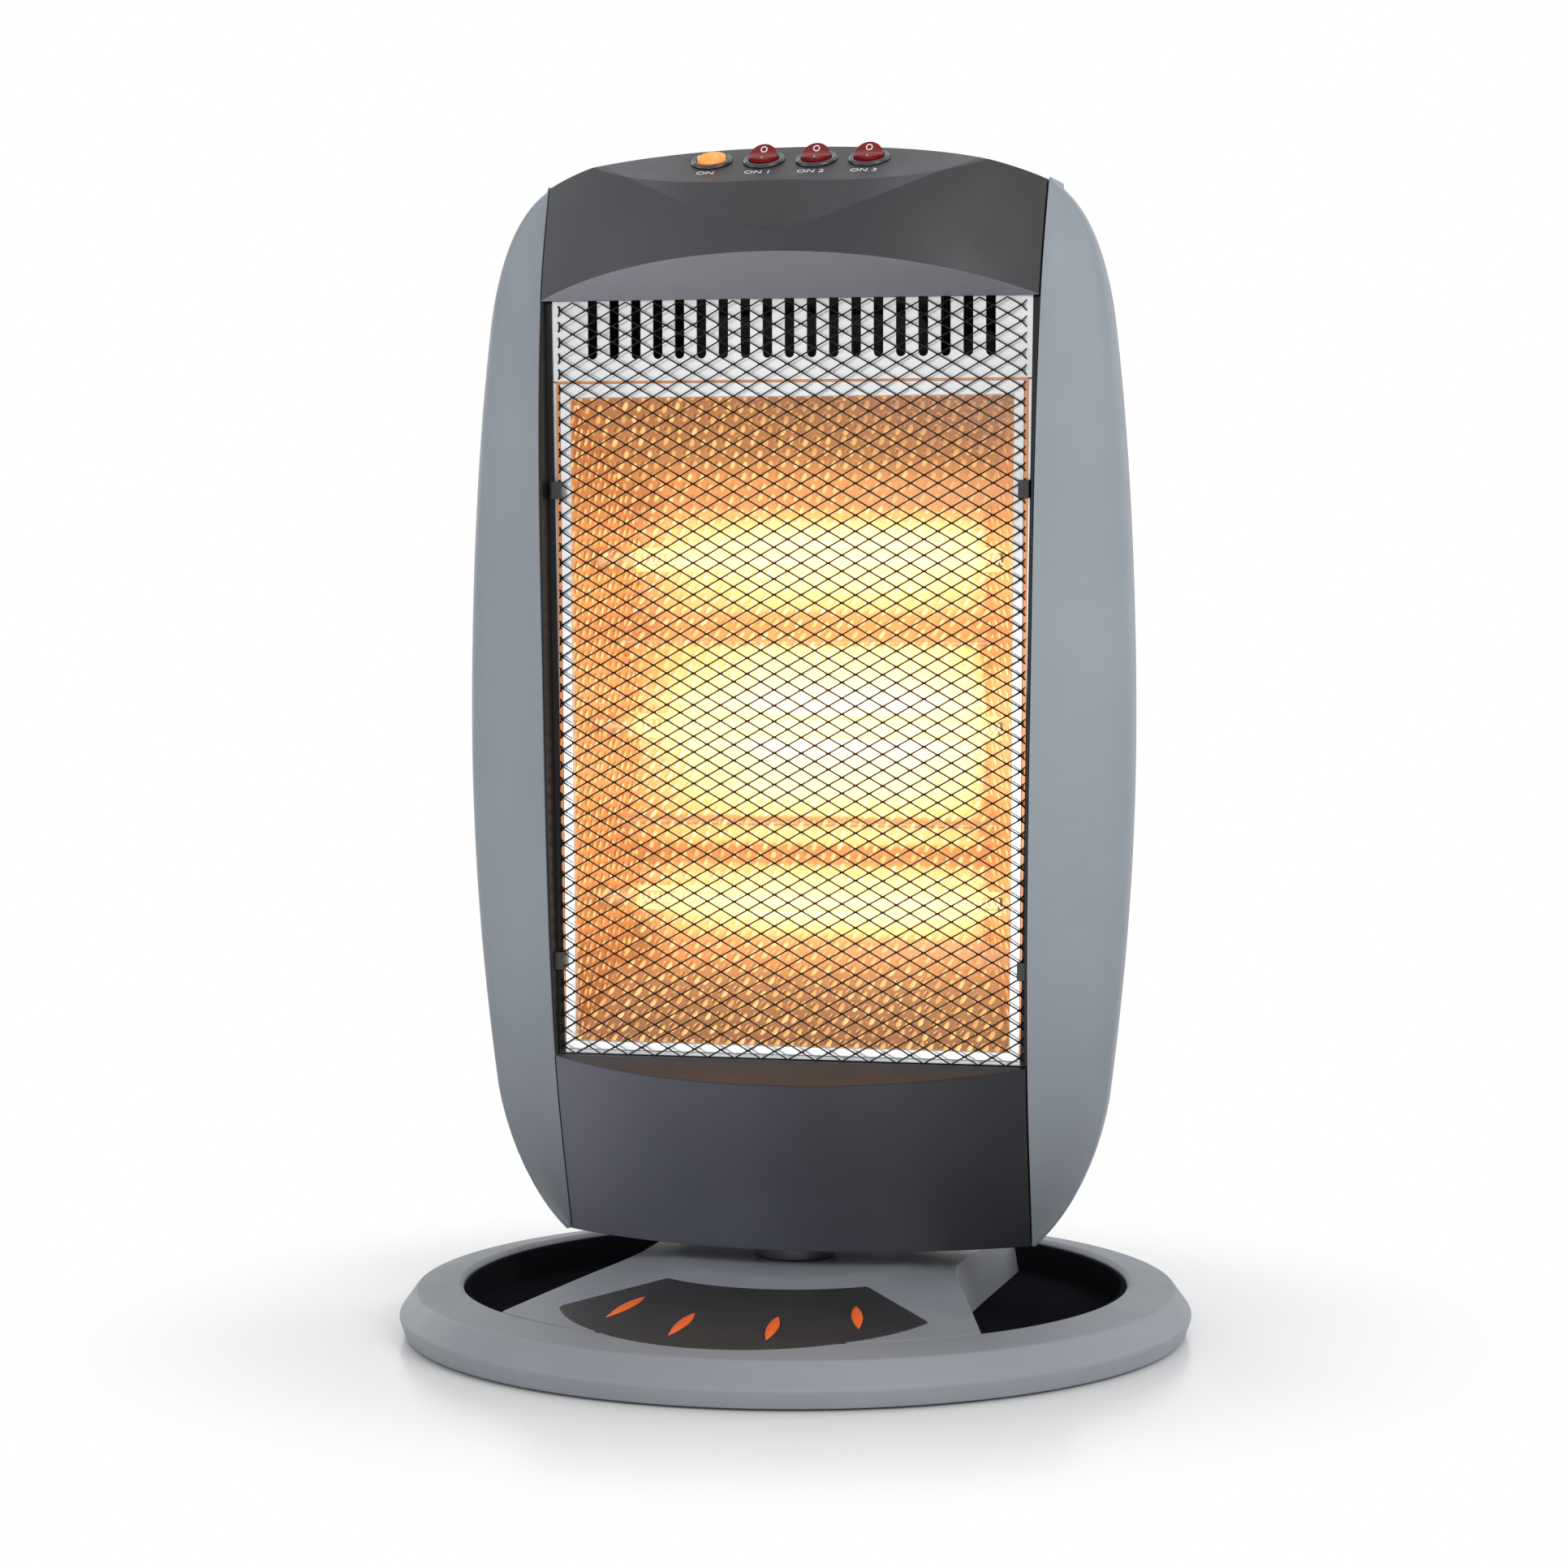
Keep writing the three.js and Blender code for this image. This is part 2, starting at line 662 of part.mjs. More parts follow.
// Everything behind the scoop, whose face leans back from the V to the control panel.
function behindScoop(inset) {
  const half = reach - 5;
  const levels = [upperEdge - 20, upperEdge + 10, scoopBottom, scoopBottom + 12, scoopCorner, headTop + 15];
  return loft(
    levels.map((z) => {
      const points = [];
      for (let i = 0; i <= scoopSteps; i++) {
        const x = -half + (2 * half * i) / scoopSteps;
        const back = (z - scoopEdge(x)) / scoopSteepness + inset * 1.2;
        points.push(new THREE.Vector2(x, frontMiddle(z) + bow(x) + back));
      }
      points.push(new THREE.Vector2(half, reach));
      points.push(new THREE.Vector2(-half, reach));
      return { z, points };
    }),
  );
}

function buildTopCover() {
  const bowDepth = bow(seamHalf(upperEdge));
  const brow = (inset) => {
    const rise = inset * Math.hypot(1, browRise / bowDepth);
    return prismX(
      polygon([
        [-reach, headMiddle],
        [reach, headMiddle],
        [reach, upperEdge + inset],
        [facePlane, upperEdge + rise],
        [-reach, upperEdge + rise + ((reach + facePlane) * browRise) / bowDepth],
      ]),
      -reach,
      reach,
    );
  };
  const form = (inset) =>
    centreBody(inset)
      .intersect(underCrown(inset))
      .intersect(underPanel(inset))
      .intersect(behindScoop(inset))
      .subtract(brow(inset));
  const outer = form(0).intersect(box(-reach, reach, -reach, coverSplitDepth, headMiddle, headTop + 30));
  const lip = facePlane + 4.2;
  const lipTop = upperEdge + coverWall + 2;
  const opening = centreBody(coverWall).intersect(box(-reach, reach, lip, reach, headMiddle, lipTop));
  const cover = outer.subtract(form(coverWall)).subtract(opening).subtract(switchHoles());
  node(head, "top_cover", cover, darkPlastic);
}

function buildBottomCover() {
  const bowDepth = bow(seamHalf(lowerEdge));
  const ledge = (inset) => {
    const fall = (reach + facePlane) * (ledgeDrop / bowDepth);
    return prismX(
      polygon([
        [-reach, lowerEdge - inset - fall],
        [facePlane, lowerEdge - inset],
        [reach, lowerEdge - inset],
        [reach, 0],
        [-reach, 0],
      ]),
      -reach,
      reach,
    );
  };
  const outer = centreBody(0)
    .intersect(ledge(0))
    .intersect(box(-reach, reach, -reach, coverSplitDepth, 0, headMiddle));
  const lip = facePlane + 8;
  const lipFoot = lowerEdge - 6;
  const opening = centreBody(coverWall).intersect(box(-reach, reach, lip, reach, lipFoot, headMiddle));
  const cover = outer
    .subtract(centreBody(coverWall).intersect(ledge(coverWall)))
    .subtract(opening)
    .subtract(disc(spindleRadius + 3, 0, 60));
  node(head, "bottom_cover", cover, finish(0x393b46, 0.6));
}

function buildRearCover() {
  const behind = box(-reach, reach, coverSplitDepth + seamGap, reach, 0, headTop + 30);
  const outer = centreBody(0).intersect(underCrown(0)).intersect(behind);
  const inner = centreBody(coverWall).intersect(underCrown(coverWall));
  const pocket = (grow) => {
    const depth = rearDepth(handleLevel) - handleDepth - grow;
    const x = handleHalfWidth + grow;
    const z0 = handleLevel - handleHeight / 2 - grow;
    return box(-x, x, depth, reach, z0, z0 + handleHeight + 2 * grow);
  };
  const slots = [];
  for (const low of louvreLevels) {
    for (let i = 0; i < louvreCount; i++) {
      const x = (i - (louvreCount - 1) / 2) * louvrePitch;
      const x0 = x - louvreWidth / 2;
      slots.push(box(x0, x0 + louvreWidth, louvreFront, reach, low, low + louvreLength));
    }
  }
  const cover = outer
    .subtract(inner.subtract(pocket(coverWall)))
    .subtract(pocket(0))
    .subtract(joined(slots))
    .subtract(disc(spindleRadius + 3, 0, 60))
    .subtract(rodY(bushRadius + fitGap, 40, reach, bushSide, bushLevel));
  node(head, "rear_cover", cover, finish(0x2c2d33, 0.65));
}

function panelSection(z, side, inset) {
  const width = outlineHalf(z) - inset;
  const start = seamHalf(z) + seamGap / 2 - inset * 3;
  const reach = Math.max(width - start, 0.4);
  const front = seamDepth(z) + inset + 0.3;
  const rear = rearDepth(z) - inset;
  const lean = bow(seamHalf(z) + 1) - bow(seamHalf(z));
  const curve = new THREE.Path();
  curve.moveTo(start, front);
  const run = 0.45 * reach;
  curve.bezierCurveTo(
    start + run,
    front + run * lean,
    start + reach,
    THREE.MathUtils.lerp(widestDepth, front, 0.45),
    start + reach,
    widestDepth,
  );
  curve.bezierCurveTo(
    start + reach,
    THREE.MathUtils.lerp(widestDepth, rear, 0.7),
    start + 0.6 * reach,
    rear,
    start,
    rear,
  );
  const points = curve.getPoints(6);
  return side > 0 ? points : points.map((p) => new THREE.Vector2(-p.x, p.y)).reverse();
}

function outlineHalf(z) {
  const points = headOutline.getPoints(12);
  const above = points.findIndex((p) => p.y >= z);
  if (above <= 0) return points[above < 0 ? points.length - 1 : 0].x;
  const [a, b] = [points[above - 1], points[above]];
  return THREE.MathUtils.lerp(a.x, b.x, (z - a.y) / (b.y - a.y));
}

const panelHeights = [0, 0.011, 0.025, 0.043, 0.071, 0.107, 0.153, 0.235, 0.349, 0.486]
  .concat([0.623, 0.749, 0.84, 0.897, 0.934, 0.959, 0.977, 0.991, 0.9995])
  .map(upward);

function buildSidePanel(name, side) {
  const outer = loft(panelHeights.map((z) => ({ z, points: panelSection(z, side, 0) })));
  const innerHeights = panelHeights.filter((z) => z > headBottom + coverWall && z < seamTop - 12);
  const inner = loft(innerHeights.map((z) => ({ z, points: panelSection(z, side, coverWall) })));
  node(head, name, outer.subtract(inner), greyPlastic);
}

// ---------------------------------------------------------------- grille
// One opening of the lattice; side and level are -1, 0 or 1, and a half opening lies at an edge.
function opening(x, z, halfWidth, halfHeight, side, level) {
  const corners = [
    [x - halfWidth, z],
    [x, z - halfHeight],
    [x + halfWidth, z],
    [x, z + halfHeight],
  ];
  const kept = corners.filter(([cx, cz]) => (cx - x) * side <= 0 && (cz - z) * level <= 0);
  return prismY(polygon(kept), grilleFront - 1, grilleFront + 1);
}

function buildGrille() {
  const low = lowerEdge + fitGap + 0.2;
  const high = upperEdge - fitGap - 0.2;
  const width = grilleHalfWidth;
  const openings = [];
  const stepX = (width - grilleEdge) / cellsAcross;
  const stepZ = (high - low - 2 * grilleEdge) / (2 * cellsUp);
  const slope = Math.atan2(stepZ, stepX);
  const halfWidth = stepX - strandWidth / 2 / Math.sin(slope);
  const halfHeight = stepZ - strandWidth / 2 / Math.cos(slope);
  for (let row = 0; row <= 2 * cellsUp; row++) {
    for (let column = (row + 1) % 2; column <= 2 * cellsAcross; column += 2) {
      const side = column === 0 ? -1 : column === 2 * cellsAcross ? 1 : 0;
      const level = row === 0 ? -1 : row === 2 * cellsUp ? 1 : 0;
      const x = (column - cellsAcross) * stepX;
      const z = low + grilleEdge + row * stepZ;
      openings.push(opening(x, z, halfWidth, halfHeight, side, level));
    }
  }
  const face = box(-width, width, grilleFront, grilleFront + grilleThickness, low, high)
    .subtract(joined(openings));
  const returns = [-1, 1].map((side) => {
    const x = side > 0 ? width - grilleThickness : -width;
    return box(x, x + grilleThickness, grilleFront, frameFront - fitGap, low, high);
  });
  node(head, "grille", joined([face, ...returns]), finish(0x141414, 0.5, 0.6));

  for (const [row, z] of clipHeights.entries()) {
    for (const side of [-1, 1]) {
      const edge = width + fitGap;
      const clip = polygon([
        [edge, frameFront - fitGap],
        [edge, grilleFront - fitGap],
        [edge - 3, grilleFront - fitGap],
        [edge - 3, grilleFront - fitGap - 1.2],
        [edge + 1.5, grilleFront - fitGap - 1.2],
        [edge + 1.5, frameFront - fitGap],
      ].map(([x, y]) => [side * x, y]));
      const name = `grille_clip_${side < 0 ? "left" : "right"}_${row + 1}`;
      node(head, name, prismZ(clip, z - 3.7, z + 3.7), blackPlastic);
    }
  }
}

// ---------------------------------------------------------------- window, reflector, tubes
function buildWindow() {
  const low = lowerEdge + fitGap;
  const plateHalf = (z) => seamHalf(z) - 0.4;
  const frame = polygon([
    [-plateHalf(low), low],
    [plateHalf(low), low],
    [plateHalf(frameTop), frameTop],
    [-plateHalf(frameTop), frameTop],
  ]);
  frame.holes.push(
    polygon([
      [-windowHalfBottom, windowBottom],
      [windowHalfBottom, windowBottom],
      [windowHalfTop, windowTop],
      [-windowHalfTop, windowTop],
    ]),
  );
  node(head, "window_frame", prismY(frame, frameFront, frameFront + frameThickness), galvanised);

  const width = seamHalf(upperEdge) - seamGap - coverWall - fitGap;
  const ventLow = frameTop + fitGap;
  const ventStep = upperEdge - 1;
  const right = [
    [plateHalf(ventLow), ventLow],
    [plateHalf(ventStep), ventStep],
    [width, ventStep],
    [width, ventPlateTop],
  ];
  const vent = polygon([...right, ...right.map(([x, z]) => [-x, z]).reverse()]);
  for (let i = 0; i < ventSlots; i++) {
    const x = (i - (ventSlots - 1) / 2) * ventSlotPitch;
    const half = ventSlotWidth / 2;
    const slot = new THREE.Path();
    slot.absarc(x, ventSlotBottom + half, half, Math.PI, 2 * Math.PI, false);
    slot.lineTo(x + half, ventPlateTop - 6);
    slot.lineTo(x - half, ventPlateTop - 6);
    slot.closePath();
    vent.holes.push(slot);
  }
  node(head, "vent_plate", prismY(vent, frameFront, frameFront + frameThickness, 3), galvanised);
}

const reflectorFront = frameFront + frameThickness + fitGap;
// Depth and height of the corners of the three troughs behind the tubes, from the top.
const troughs = [
  [27, 0.839], [32, 0.787], [32, 0.705], [26, 0.654], [18, 0.621],
  [26, 0.589], [32, 0.548], [32, 0.421], [26, 0.372], [18, 0.338],
  [24, 0.305], [31, 0.271], [31, 0.189], [27, 0.148],
];
const reflectorBack = 33;

// The space inside the reflector, grown outwards by the sheet's thickness.
function reflectorForm(grow) {
  const front = reflectorFront - (grow ? 0 : 2);
  const side = prismX(
    polygon([
      [front, windowTop + grow],
      ...troughs.map(([y, share]) => [y + grow, windowShare(share)]),
      [front, windowBottom - grow],
    ]),
    -reach,
    reach,
  );
  const backHalf = reflectorBackHalf + grow;
  const frontHalf = windowHalfTop + grow;
  const plan = prismZ(
    polygon([
      [-frontHalf, front],
      [frontHalf, front],
      [backHalf, reflectorBack + grow],
      [-backHalf, reflectorBack + grow],
    ]),
    headBottom,
    headTop,
  );
  return side.intersect(plan);
}

function buildReflector() {
  const holes = tubeHeights.map((z) => rodX(tubeRadius + 2, -reach, reach, tubeDepth, z));
  const reflector = reflectorForm(reflectorSheet).subtract(reflectorForm(0)).subtract(joined(holes));
  node(head, "reflector", reflector, finish(0xe8e0d0, 0.25, 0.95));
}

function buildTubes() {
  for (const [side, name] of [[-1, "left"], [1, "right"]]) {
    const x = side > 0 ? bracketHalf : -bracketHalf - sheet;
    const strip = box(x, x + sheet, reflectorFront, chassisDepth - fitGap, lowerEdge + fitGap, frameTop);
    const clear = capHalf + fitGap;
    const holes = tubeHeights.map((z) =>
      box(-reach, reach, tubeDepth - clear, tubeDepth + clear, z - clear, z + clear),
    );
    node(head, `tube_bracket_${name}`, strip.subtract(joined(holes)), galvanised);
  }
  for (const [i, z] of tubeHeights.entries()) {
    const x = tubeHalfLength;
    const tubeHole = rodX(tubeBore, -x - 1, x + 1, tubeDepth, z);
    const tube = rodX(tubeRadius, -x, x, tubeDepth, z).subtract(tubeHole);
    const glass = new THREE.MeshStandardMaterial({ color: 0xfff1d6, roughness: 0.1, emissive: 0xff9a30 });
    node(head, `quartz_tube_${i + 1}`, tube, glass);
    const coil = rodX(coilRadius, -capSeat + fitGap, capSeat - fitGap, tubeDepth, z, 8);
    node(head, `heating_coil_${i + 1}`, coil, finish(0xffb347, 0.5));
    for (const [side, name] of [[-1, "left"], [1, "right"]]) {
      const ends = side > 0 ? [capInner, capOuter] : [-capOuter, -capInner];
      const bore = side > 0 ? [capInner - 1, capSeat] : [-capSeat, -capInner + 1];
      const y = tubeDepth;
      const block = box(ends[0], ends[1], y - capHalf, y + capHalf, z - capHalf, z + capHalf);
      const cap = block.subtract(rodX(tubeRadius + fitGap, bore[0], bore[1], y, z));
      node(head, `tube_cap_${name}_${i + 1}`, cap, finish(0xe9e4d8, 0.8));
    }
  }
}

// ---------------------------------------------------------------- inside the head
function buildChassis() {
  const hole = disc(spindleRadius + 0.4, 0, 100);
  const half = swivelPlateHalf;
  const plate = box(-half, half, swivelPlateFront, chassisDepth + 2, plateLow, plateHigh);
  node(head, "swivel_plate", plate.subtract(hole), steel);

  const low = plateHigh + fitGap;
  const wall = prismX(
    polygon([
      [chassisDepth - chassisFoot, low],
      [chassisDepth + sheet, low],
      [chassisDepth + sheet, ventPlateTop],
      [chassisDepth, ventPlateTop],
      [chassisDepth, low + sheet],
      [chassisDepth - chassisFoot, low + sheet],
    ]),
    -chassisHalf,
    chassisHalf,
  );
  const arch = box(-chassisLegHalf, chassisLegHalf, 0, reach, 0, motorLow + motorHeight + 10);
  const reliefHalf = handleHalfWidth + 6;
  const relief = box(-reliefHalf, reliefHalf, 0, reach, handleLevel - handleHeight - 5, headTop);
  node(head, "chassis", wall.subtract(arch).subtract(relief), galvanised);

  const front = swivelPlateFront + 1;
  const back = front + fittingDepth;
  const right = swivelPlateHalf - 2;
  const block = box(right - terminalLength, right, front, back, low, low + terminalHeight);
  node(head, "terminal_block", block, finish(0xf2efe6, 0.5));
  const left = 4 - swivelPlateHalf;
  const tipTop = low + tipHeight;
  const tip = box(left, left + tipLength, front, back, low, tipTop);
  const plunger = disc(2.5, tipTop - 1, tipTop + 4, left + tipLength / 2, front + fittingDepth / 2, 12);
  node(head, "tip_switch", tip.add(plunger), blackPlastic);
  const cutoutBack = chassisDepth - fitGap;
  const cutout = rodY(8, cutoutBack - 7, cutoutBack, cutoutSide, ventPlateTop - 32);
  node(head, "thermal_cutout", cutout, finish(0xb9b4a6, 0.4, 0.5));

  const face = rearDepth(bushLevel);
  const neck = rodY(bushRadius, face - coverWall - 6, face + 1, bushSide, bushLevel);
  const flange = rodY(bushFlange, face + 0.6, face + 4, bushSide, bushLevel);
  const bore = rodY(3.6, 0, reach, bushSide, bushLevel, 16);
  node(head, "cord_bush", neck.add(flange).subtract(bore), blackPlastic);
}

// ---------------------------------------------------------------- switches
const slopeUp = new THREE.Vector2(Math.cos(rad(panelSlope)), Math.sin(rad(panelSlope)));
const switchY = panelFrontDepth + switchRow * slopeUp.x;
const switchZ = panelFrontHeight + switchRow * slopeUp.y;
const switchXs = [0, 1, 2, 3].map((i) => (i - 1.5) * switchPitch);
controlPanel.position.set(0, switchY, switchZ);
controlPanel.rotation.x = rad(panelSlope);

function switchHoles() {
  return joined(
    switchXs.map((x) => {
      const radius = barrelRadius + fitGap;
      const geometry = new THREE.CylinderGeometry(radius, radius, 40, 16).rotateX(Math.PI / 2);
      geometry.rotateX(rad(panelSlope)).translate(x, switchY, switchZ);
      return solid(geometry);
    }),
  );
}

function buildSwitches() {
  for (const [i, x] of switchXs.entries()) {
    const body = turned(
      [
        [0, -barrelDepth],
        [barrelRadius, -barrelDepth],
        [barrelRadius, fitGap],
        [bezelRadius, fitGap],
        [bezelRadius - 0.4, bezelHeight - 0.5],
        [bezelRadius - 1.2, bezelHeight],
        [wellRadius, bezelHeight],
        [wellRadius, -wellDepth],
        [0, -wellDepth],
      ],
      16,
      x,
      0,
    );
    node(controlPanel, `switch_body_${i + 1}`, body, finish(0x202226, 0.4));
    const cap = buildRocker(i === 0);
    cap.position.set(x, 0, rockerPivot);
    cap.rotation.x = rad(i === 0 ? -rockerTilt : rockerTilt);
    cap.name = `switch_rocker_${i + 1}`;
    controlPanel.add(cap);
  }
}

// The cap is cut from a ball round its own axis, and drawn level with the middle of its travel.
function buildRocker(orange) {
  const rise = rockerRadius * Math.tan(rad(rockerFace));
  const profile = polygon([
    [-rockerRadius, -rockerSkirt],
    [rockerRadius, -rockerSkirt],
    [rockerRadius, rockerValley + rise],
    [0, rockerValley],
    [-rockerRadius, rockerValley + rise],
  ]);
  const ball = solid(new THREE.SphereGeometry(rockerRadius, 12, 8).rotateZ(Math.PI / 2));
  const made = prismX(profile, -rockerRadius, rockerRadius).intersect(ball);
  const colour = orange ? 0xff8c2a : 0xb5121b;
  return new THREE.Mesh(geometryOf(made), finish(colour, 0.25));
}

buildBase();
buildSwivel();
buildSwingDrive();
buildTopCover();
buildBottomCover();
buildRearCover();
buildSidePanel("side_panel_left", -1);
buildSidePanel("side_panel_right", 1);
buildGrille();
buildWindow();
buildReflector();
buildTubes();
buildChassis();
buildSwitches();

export default heater;
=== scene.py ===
import json
import math

import bmesh
import bpy
from mathutils import Matrix, Vector

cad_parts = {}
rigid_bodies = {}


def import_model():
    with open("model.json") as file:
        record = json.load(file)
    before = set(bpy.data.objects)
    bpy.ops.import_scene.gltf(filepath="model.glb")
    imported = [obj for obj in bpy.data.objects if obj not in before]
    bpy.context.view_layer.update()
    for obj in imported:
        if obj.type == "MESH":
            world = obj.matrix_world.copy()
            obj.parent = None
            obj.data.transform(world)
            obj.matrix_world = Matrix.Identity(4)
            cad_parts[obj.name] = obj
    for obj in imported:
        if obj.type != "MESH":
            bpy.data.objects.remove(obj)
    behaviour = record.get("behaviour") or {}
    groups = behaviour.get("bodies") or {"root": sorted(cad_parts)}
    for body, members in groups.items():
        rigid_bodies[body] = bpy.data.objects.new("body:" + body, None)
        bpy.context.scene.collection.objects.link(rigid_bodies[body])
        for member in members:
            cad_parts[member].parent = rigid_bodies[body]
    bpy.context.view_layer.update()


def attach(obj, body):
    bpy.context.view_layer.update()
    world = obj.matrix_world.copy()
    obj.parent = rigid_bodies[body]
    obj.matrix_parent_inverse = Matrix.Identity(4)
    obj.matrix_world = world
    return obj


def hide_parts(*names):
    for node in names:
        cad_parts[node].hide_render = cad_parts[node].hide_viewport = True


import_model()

# Halogen heater: smooth covers, fine mesh, reflector with a painted glow, and finishes round the imported
# frame.
# The forms are drawn in millimetres and scaled to metres when each piece is kept. The front faces -Y.
scene = bpy.context.scene

# ---------------------------------------------------------------- dimensions shared with the part's source
COVER_WALL = 2.5
SEAM_GAP = 0.7
FIT = 0.3
HUB_HEIGHT = 30.5
RING_INNER = 138
HEAD_BOTTOM, HEAD_TOP = 37, 490
WIDEST_DEPTH = 4
FACE_PLANE = -14
UPPER_EDGE, LOWER_EDGE = 427, 113.5
MIDDLE = (UPPER_EDGE + LOWER_EDGE) / 2
FRAME_TOP = 393.7
SPLIT = 22
SEAM_TOP = 475.2
FRONT_RADIUS = 168
PANEL_SLOPE = math.radians(24.8)
PANEL_FRONT = (-28, 473.5)
SWITCH_Y = PANEL_FRONT[0] + 23 * math.cos(PANEL_SLOPE)
SWITCH_Z = PANEL_FRONT[1] + 23 * math.sin(PANEL_SLOPE)
SWITCH_XS = [-33, -11, 11, 33]
TUBES = [320.1, 250.6, 178.1]
TUBE_DEPTH = 12
TUBE_RADIUS, TUBE_BORE, TUBE_HALF = 5, 3.9, 95
COIL_TURNS, COIL_LENGTH, COIL_RADIUS, COIL_WIRE = 74, 186, 1.9, 0.32


# ---------------------------------------------------------------- mesh tools
def placed(name, data):
    made = bpy.data.objects.new(name, data)
    scene.collection.objects.link(made)
    return made


def applied(piece):
    """The piece as a plain mesh: its modifiers applied, or its letters turned to faces."""
    graph = bpy.context.evaluated_depsgraph_get()
    return bpy.data.meshes.new_from_object(piece.evaluated_get(graph))


def mesh_object(name, verts, faces):
    mesh = bpy.data.meshes.new(name)
    mesh.from_pydata([tuple(v) for v in verts], [], faces)
    mesh.validate()
    bm = bmesh.new()
    bm.from_mesh(mesh)
    bmesh.ops.remove_doubles(bm, verts=bm.verts, dist=1e-4)
    bmesh.ops.recalc_face_normals(bm, faces=bm.faces)
    bm.to_mesh(mesh)
    bm.free()
    return placed(name, mesh)


def loft(name, rings, closed=True):
    count = len(rings[0])
    verts = [p for ring in rings for p in ring]
    faces = []
    for level in range(len(rings) - 1):
        for i in range(count):
            a, b = level * count + i, level * count + (i + 1) % count
            faces.append((a, b, b + count, a + count))
    if closed:
        faces.append(tuple(range(count)))
        faces.append(tuple(range((len(rings) - 1) * count, len(rings) * count)))
    return mesh_object(name, verts, faces)


def prism(name, points, low, high, axis):
    """The outline drawn straight along an axis; its points are the other two axes, in order."""
    at = "XYZ".index(axis)
    return loft(name, [[(*p[:at], w, *p[at:]) for p in points] for w in (low, high)])


def block(x0, x1, y0, y1, z0, z1):
    return prism("block", [(x0, y0), (x1, y0), (x1, y1), (x0, y1)], z0, z1, "Z")


def revolve(name, profile, segments):
    """A closed ring of [radius, height] points turned round a standing axis."""
    rings = []
    for i in range(segments):
        a = 2 * math.pi * i / segments
        rings.append([(r * math.cos(a), r * math.sin(a), z) for r, z in profile])
    count = len(profile)
    verts = [p for ring in rings for p in ring]
    faces = []
    for i in range(segments):
        for k in range(count):
            a = i * count + k
            b = i * count + (k + 1) % count
            c = ((i + 1) % segments) * count
            faces.append((a, b, c + (k + 1) % count, c + k))
    return mesh_object(name, verts, faces)


def rounded(points, radius, steps=5, closed=True):
    """The same outline with its corners eased; radius may be a list with one entry for each corner."""
    radii = radius if isinstance(radius, list) else [radius] * len(points)
    made = []
    last = len(points) - 1
    for i, p in enumerate(points):
        p = Vector(p)
        if radii[i] == 0 or (not closed and i in (0, last)):
            made.append(p)
            continue
        before, after = Vector(points[i - 1]), Vector(points[(i + 1) % len(points)])
        a = p + (before - p).normalized() * min(radii[i], (before - p).length * 0.48)
        b = p + (after - p).normalized() * min(radii[i], (after - p).length * 0.48)
        for k in range(steps + 1):
            t = k / steps
            made.append(a * (1 - t) ** 2 + p * 2 * t * (1 - t) + b * t * t)
    return [tuple(v) for v in made]


def bezier(p0, p1, p2, p3, steps):
    made = []
    for i in range(steps + 1):
        t = i / steps
        s = 1 - t
        made.append(tuple(s**3 * a + 3 * s * s * t * b + 3 * s * t * t * c + t**3 * d
                          for a, b, c, d in zip(p0, p1, p2, p3)))
    return made


def arc(cx, cy, radius, start, end, steps):
    return [(cx + radius * math.cos(start + (end - start) * i / steps),
             cy + radius * math.sin(start + (end - start) * i / steps)) for i in range(steps + 1)]


def circle(radius, steps, cx=0, cy=0):
    return arc(cx, cy, radius, 0, 2 * math.pi * (steps - 1) / steps, steps - 1)


def disc(radius, low, high):
    return prism("disc", circle(radius, 64), low, high, "Z")


def rod_y(radius, y0, y1, x, z):
    return prism("rod", circle(radius, 40, x, z), y0, y1, "Y")


def stadium(x, half, low, high, steps=6):
    return (arc(x, low + half, half, math.pi, 2 * math.pi, steps)
            + arc(x, high - half, half, 0, math.pi, steps))


def change(target, other, how):
    step = target.modifiers.new("step", "BOOLEAN")
    step.object = other
    step.operation = how
    step.solver = "EXACT"
    mesh = applied(target)
    target.modifiers.clear()
    target.data = mesh
    bpy.data.objects.remove(other)
    return target


def cut(target, *others):
    for other in others:
        change(target, other, "DIFFERENCE")
    return target


def meet(target, *others):
    for other in others:
        change(target, other, "INTERSECT")
    return target


def join(target, *others):
    for other in others:
        change(target, other, "UNION")
    return target


def merged(name, objects):
    """Separate closed forms gathered in one object, with no boolean."""
    bm = bmesh.new()
    for one in objects:
        bm.from_mesh(one.data)
        bpy.data.objects.remove(one)
    mesh = bpy.data.meshes.new(name)
    bm.to_mesh(mesh)
    bm.free()
    return placed(name, mesh)


def keep(piece, name, body, material, replaced=(), sharp=32):
    """Scales a finished form to metres, smooths it, and puts it on its body."""
    piece.name = name
    piece.data.name = name
    piece.data.transform(Matrix.Scale(0.001, 4))
    piece.data.materials.clear()
    piece.data.materials.append(material)
    for face in piece.data.polygons:
        face.use_smooth = True
        face.material_index = 0
    piece.data.set_sharp_from_angle(angle=math.radians(sharp))
    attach(piece, body)
    if replaced:
        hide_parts(*replaced)
    return piece


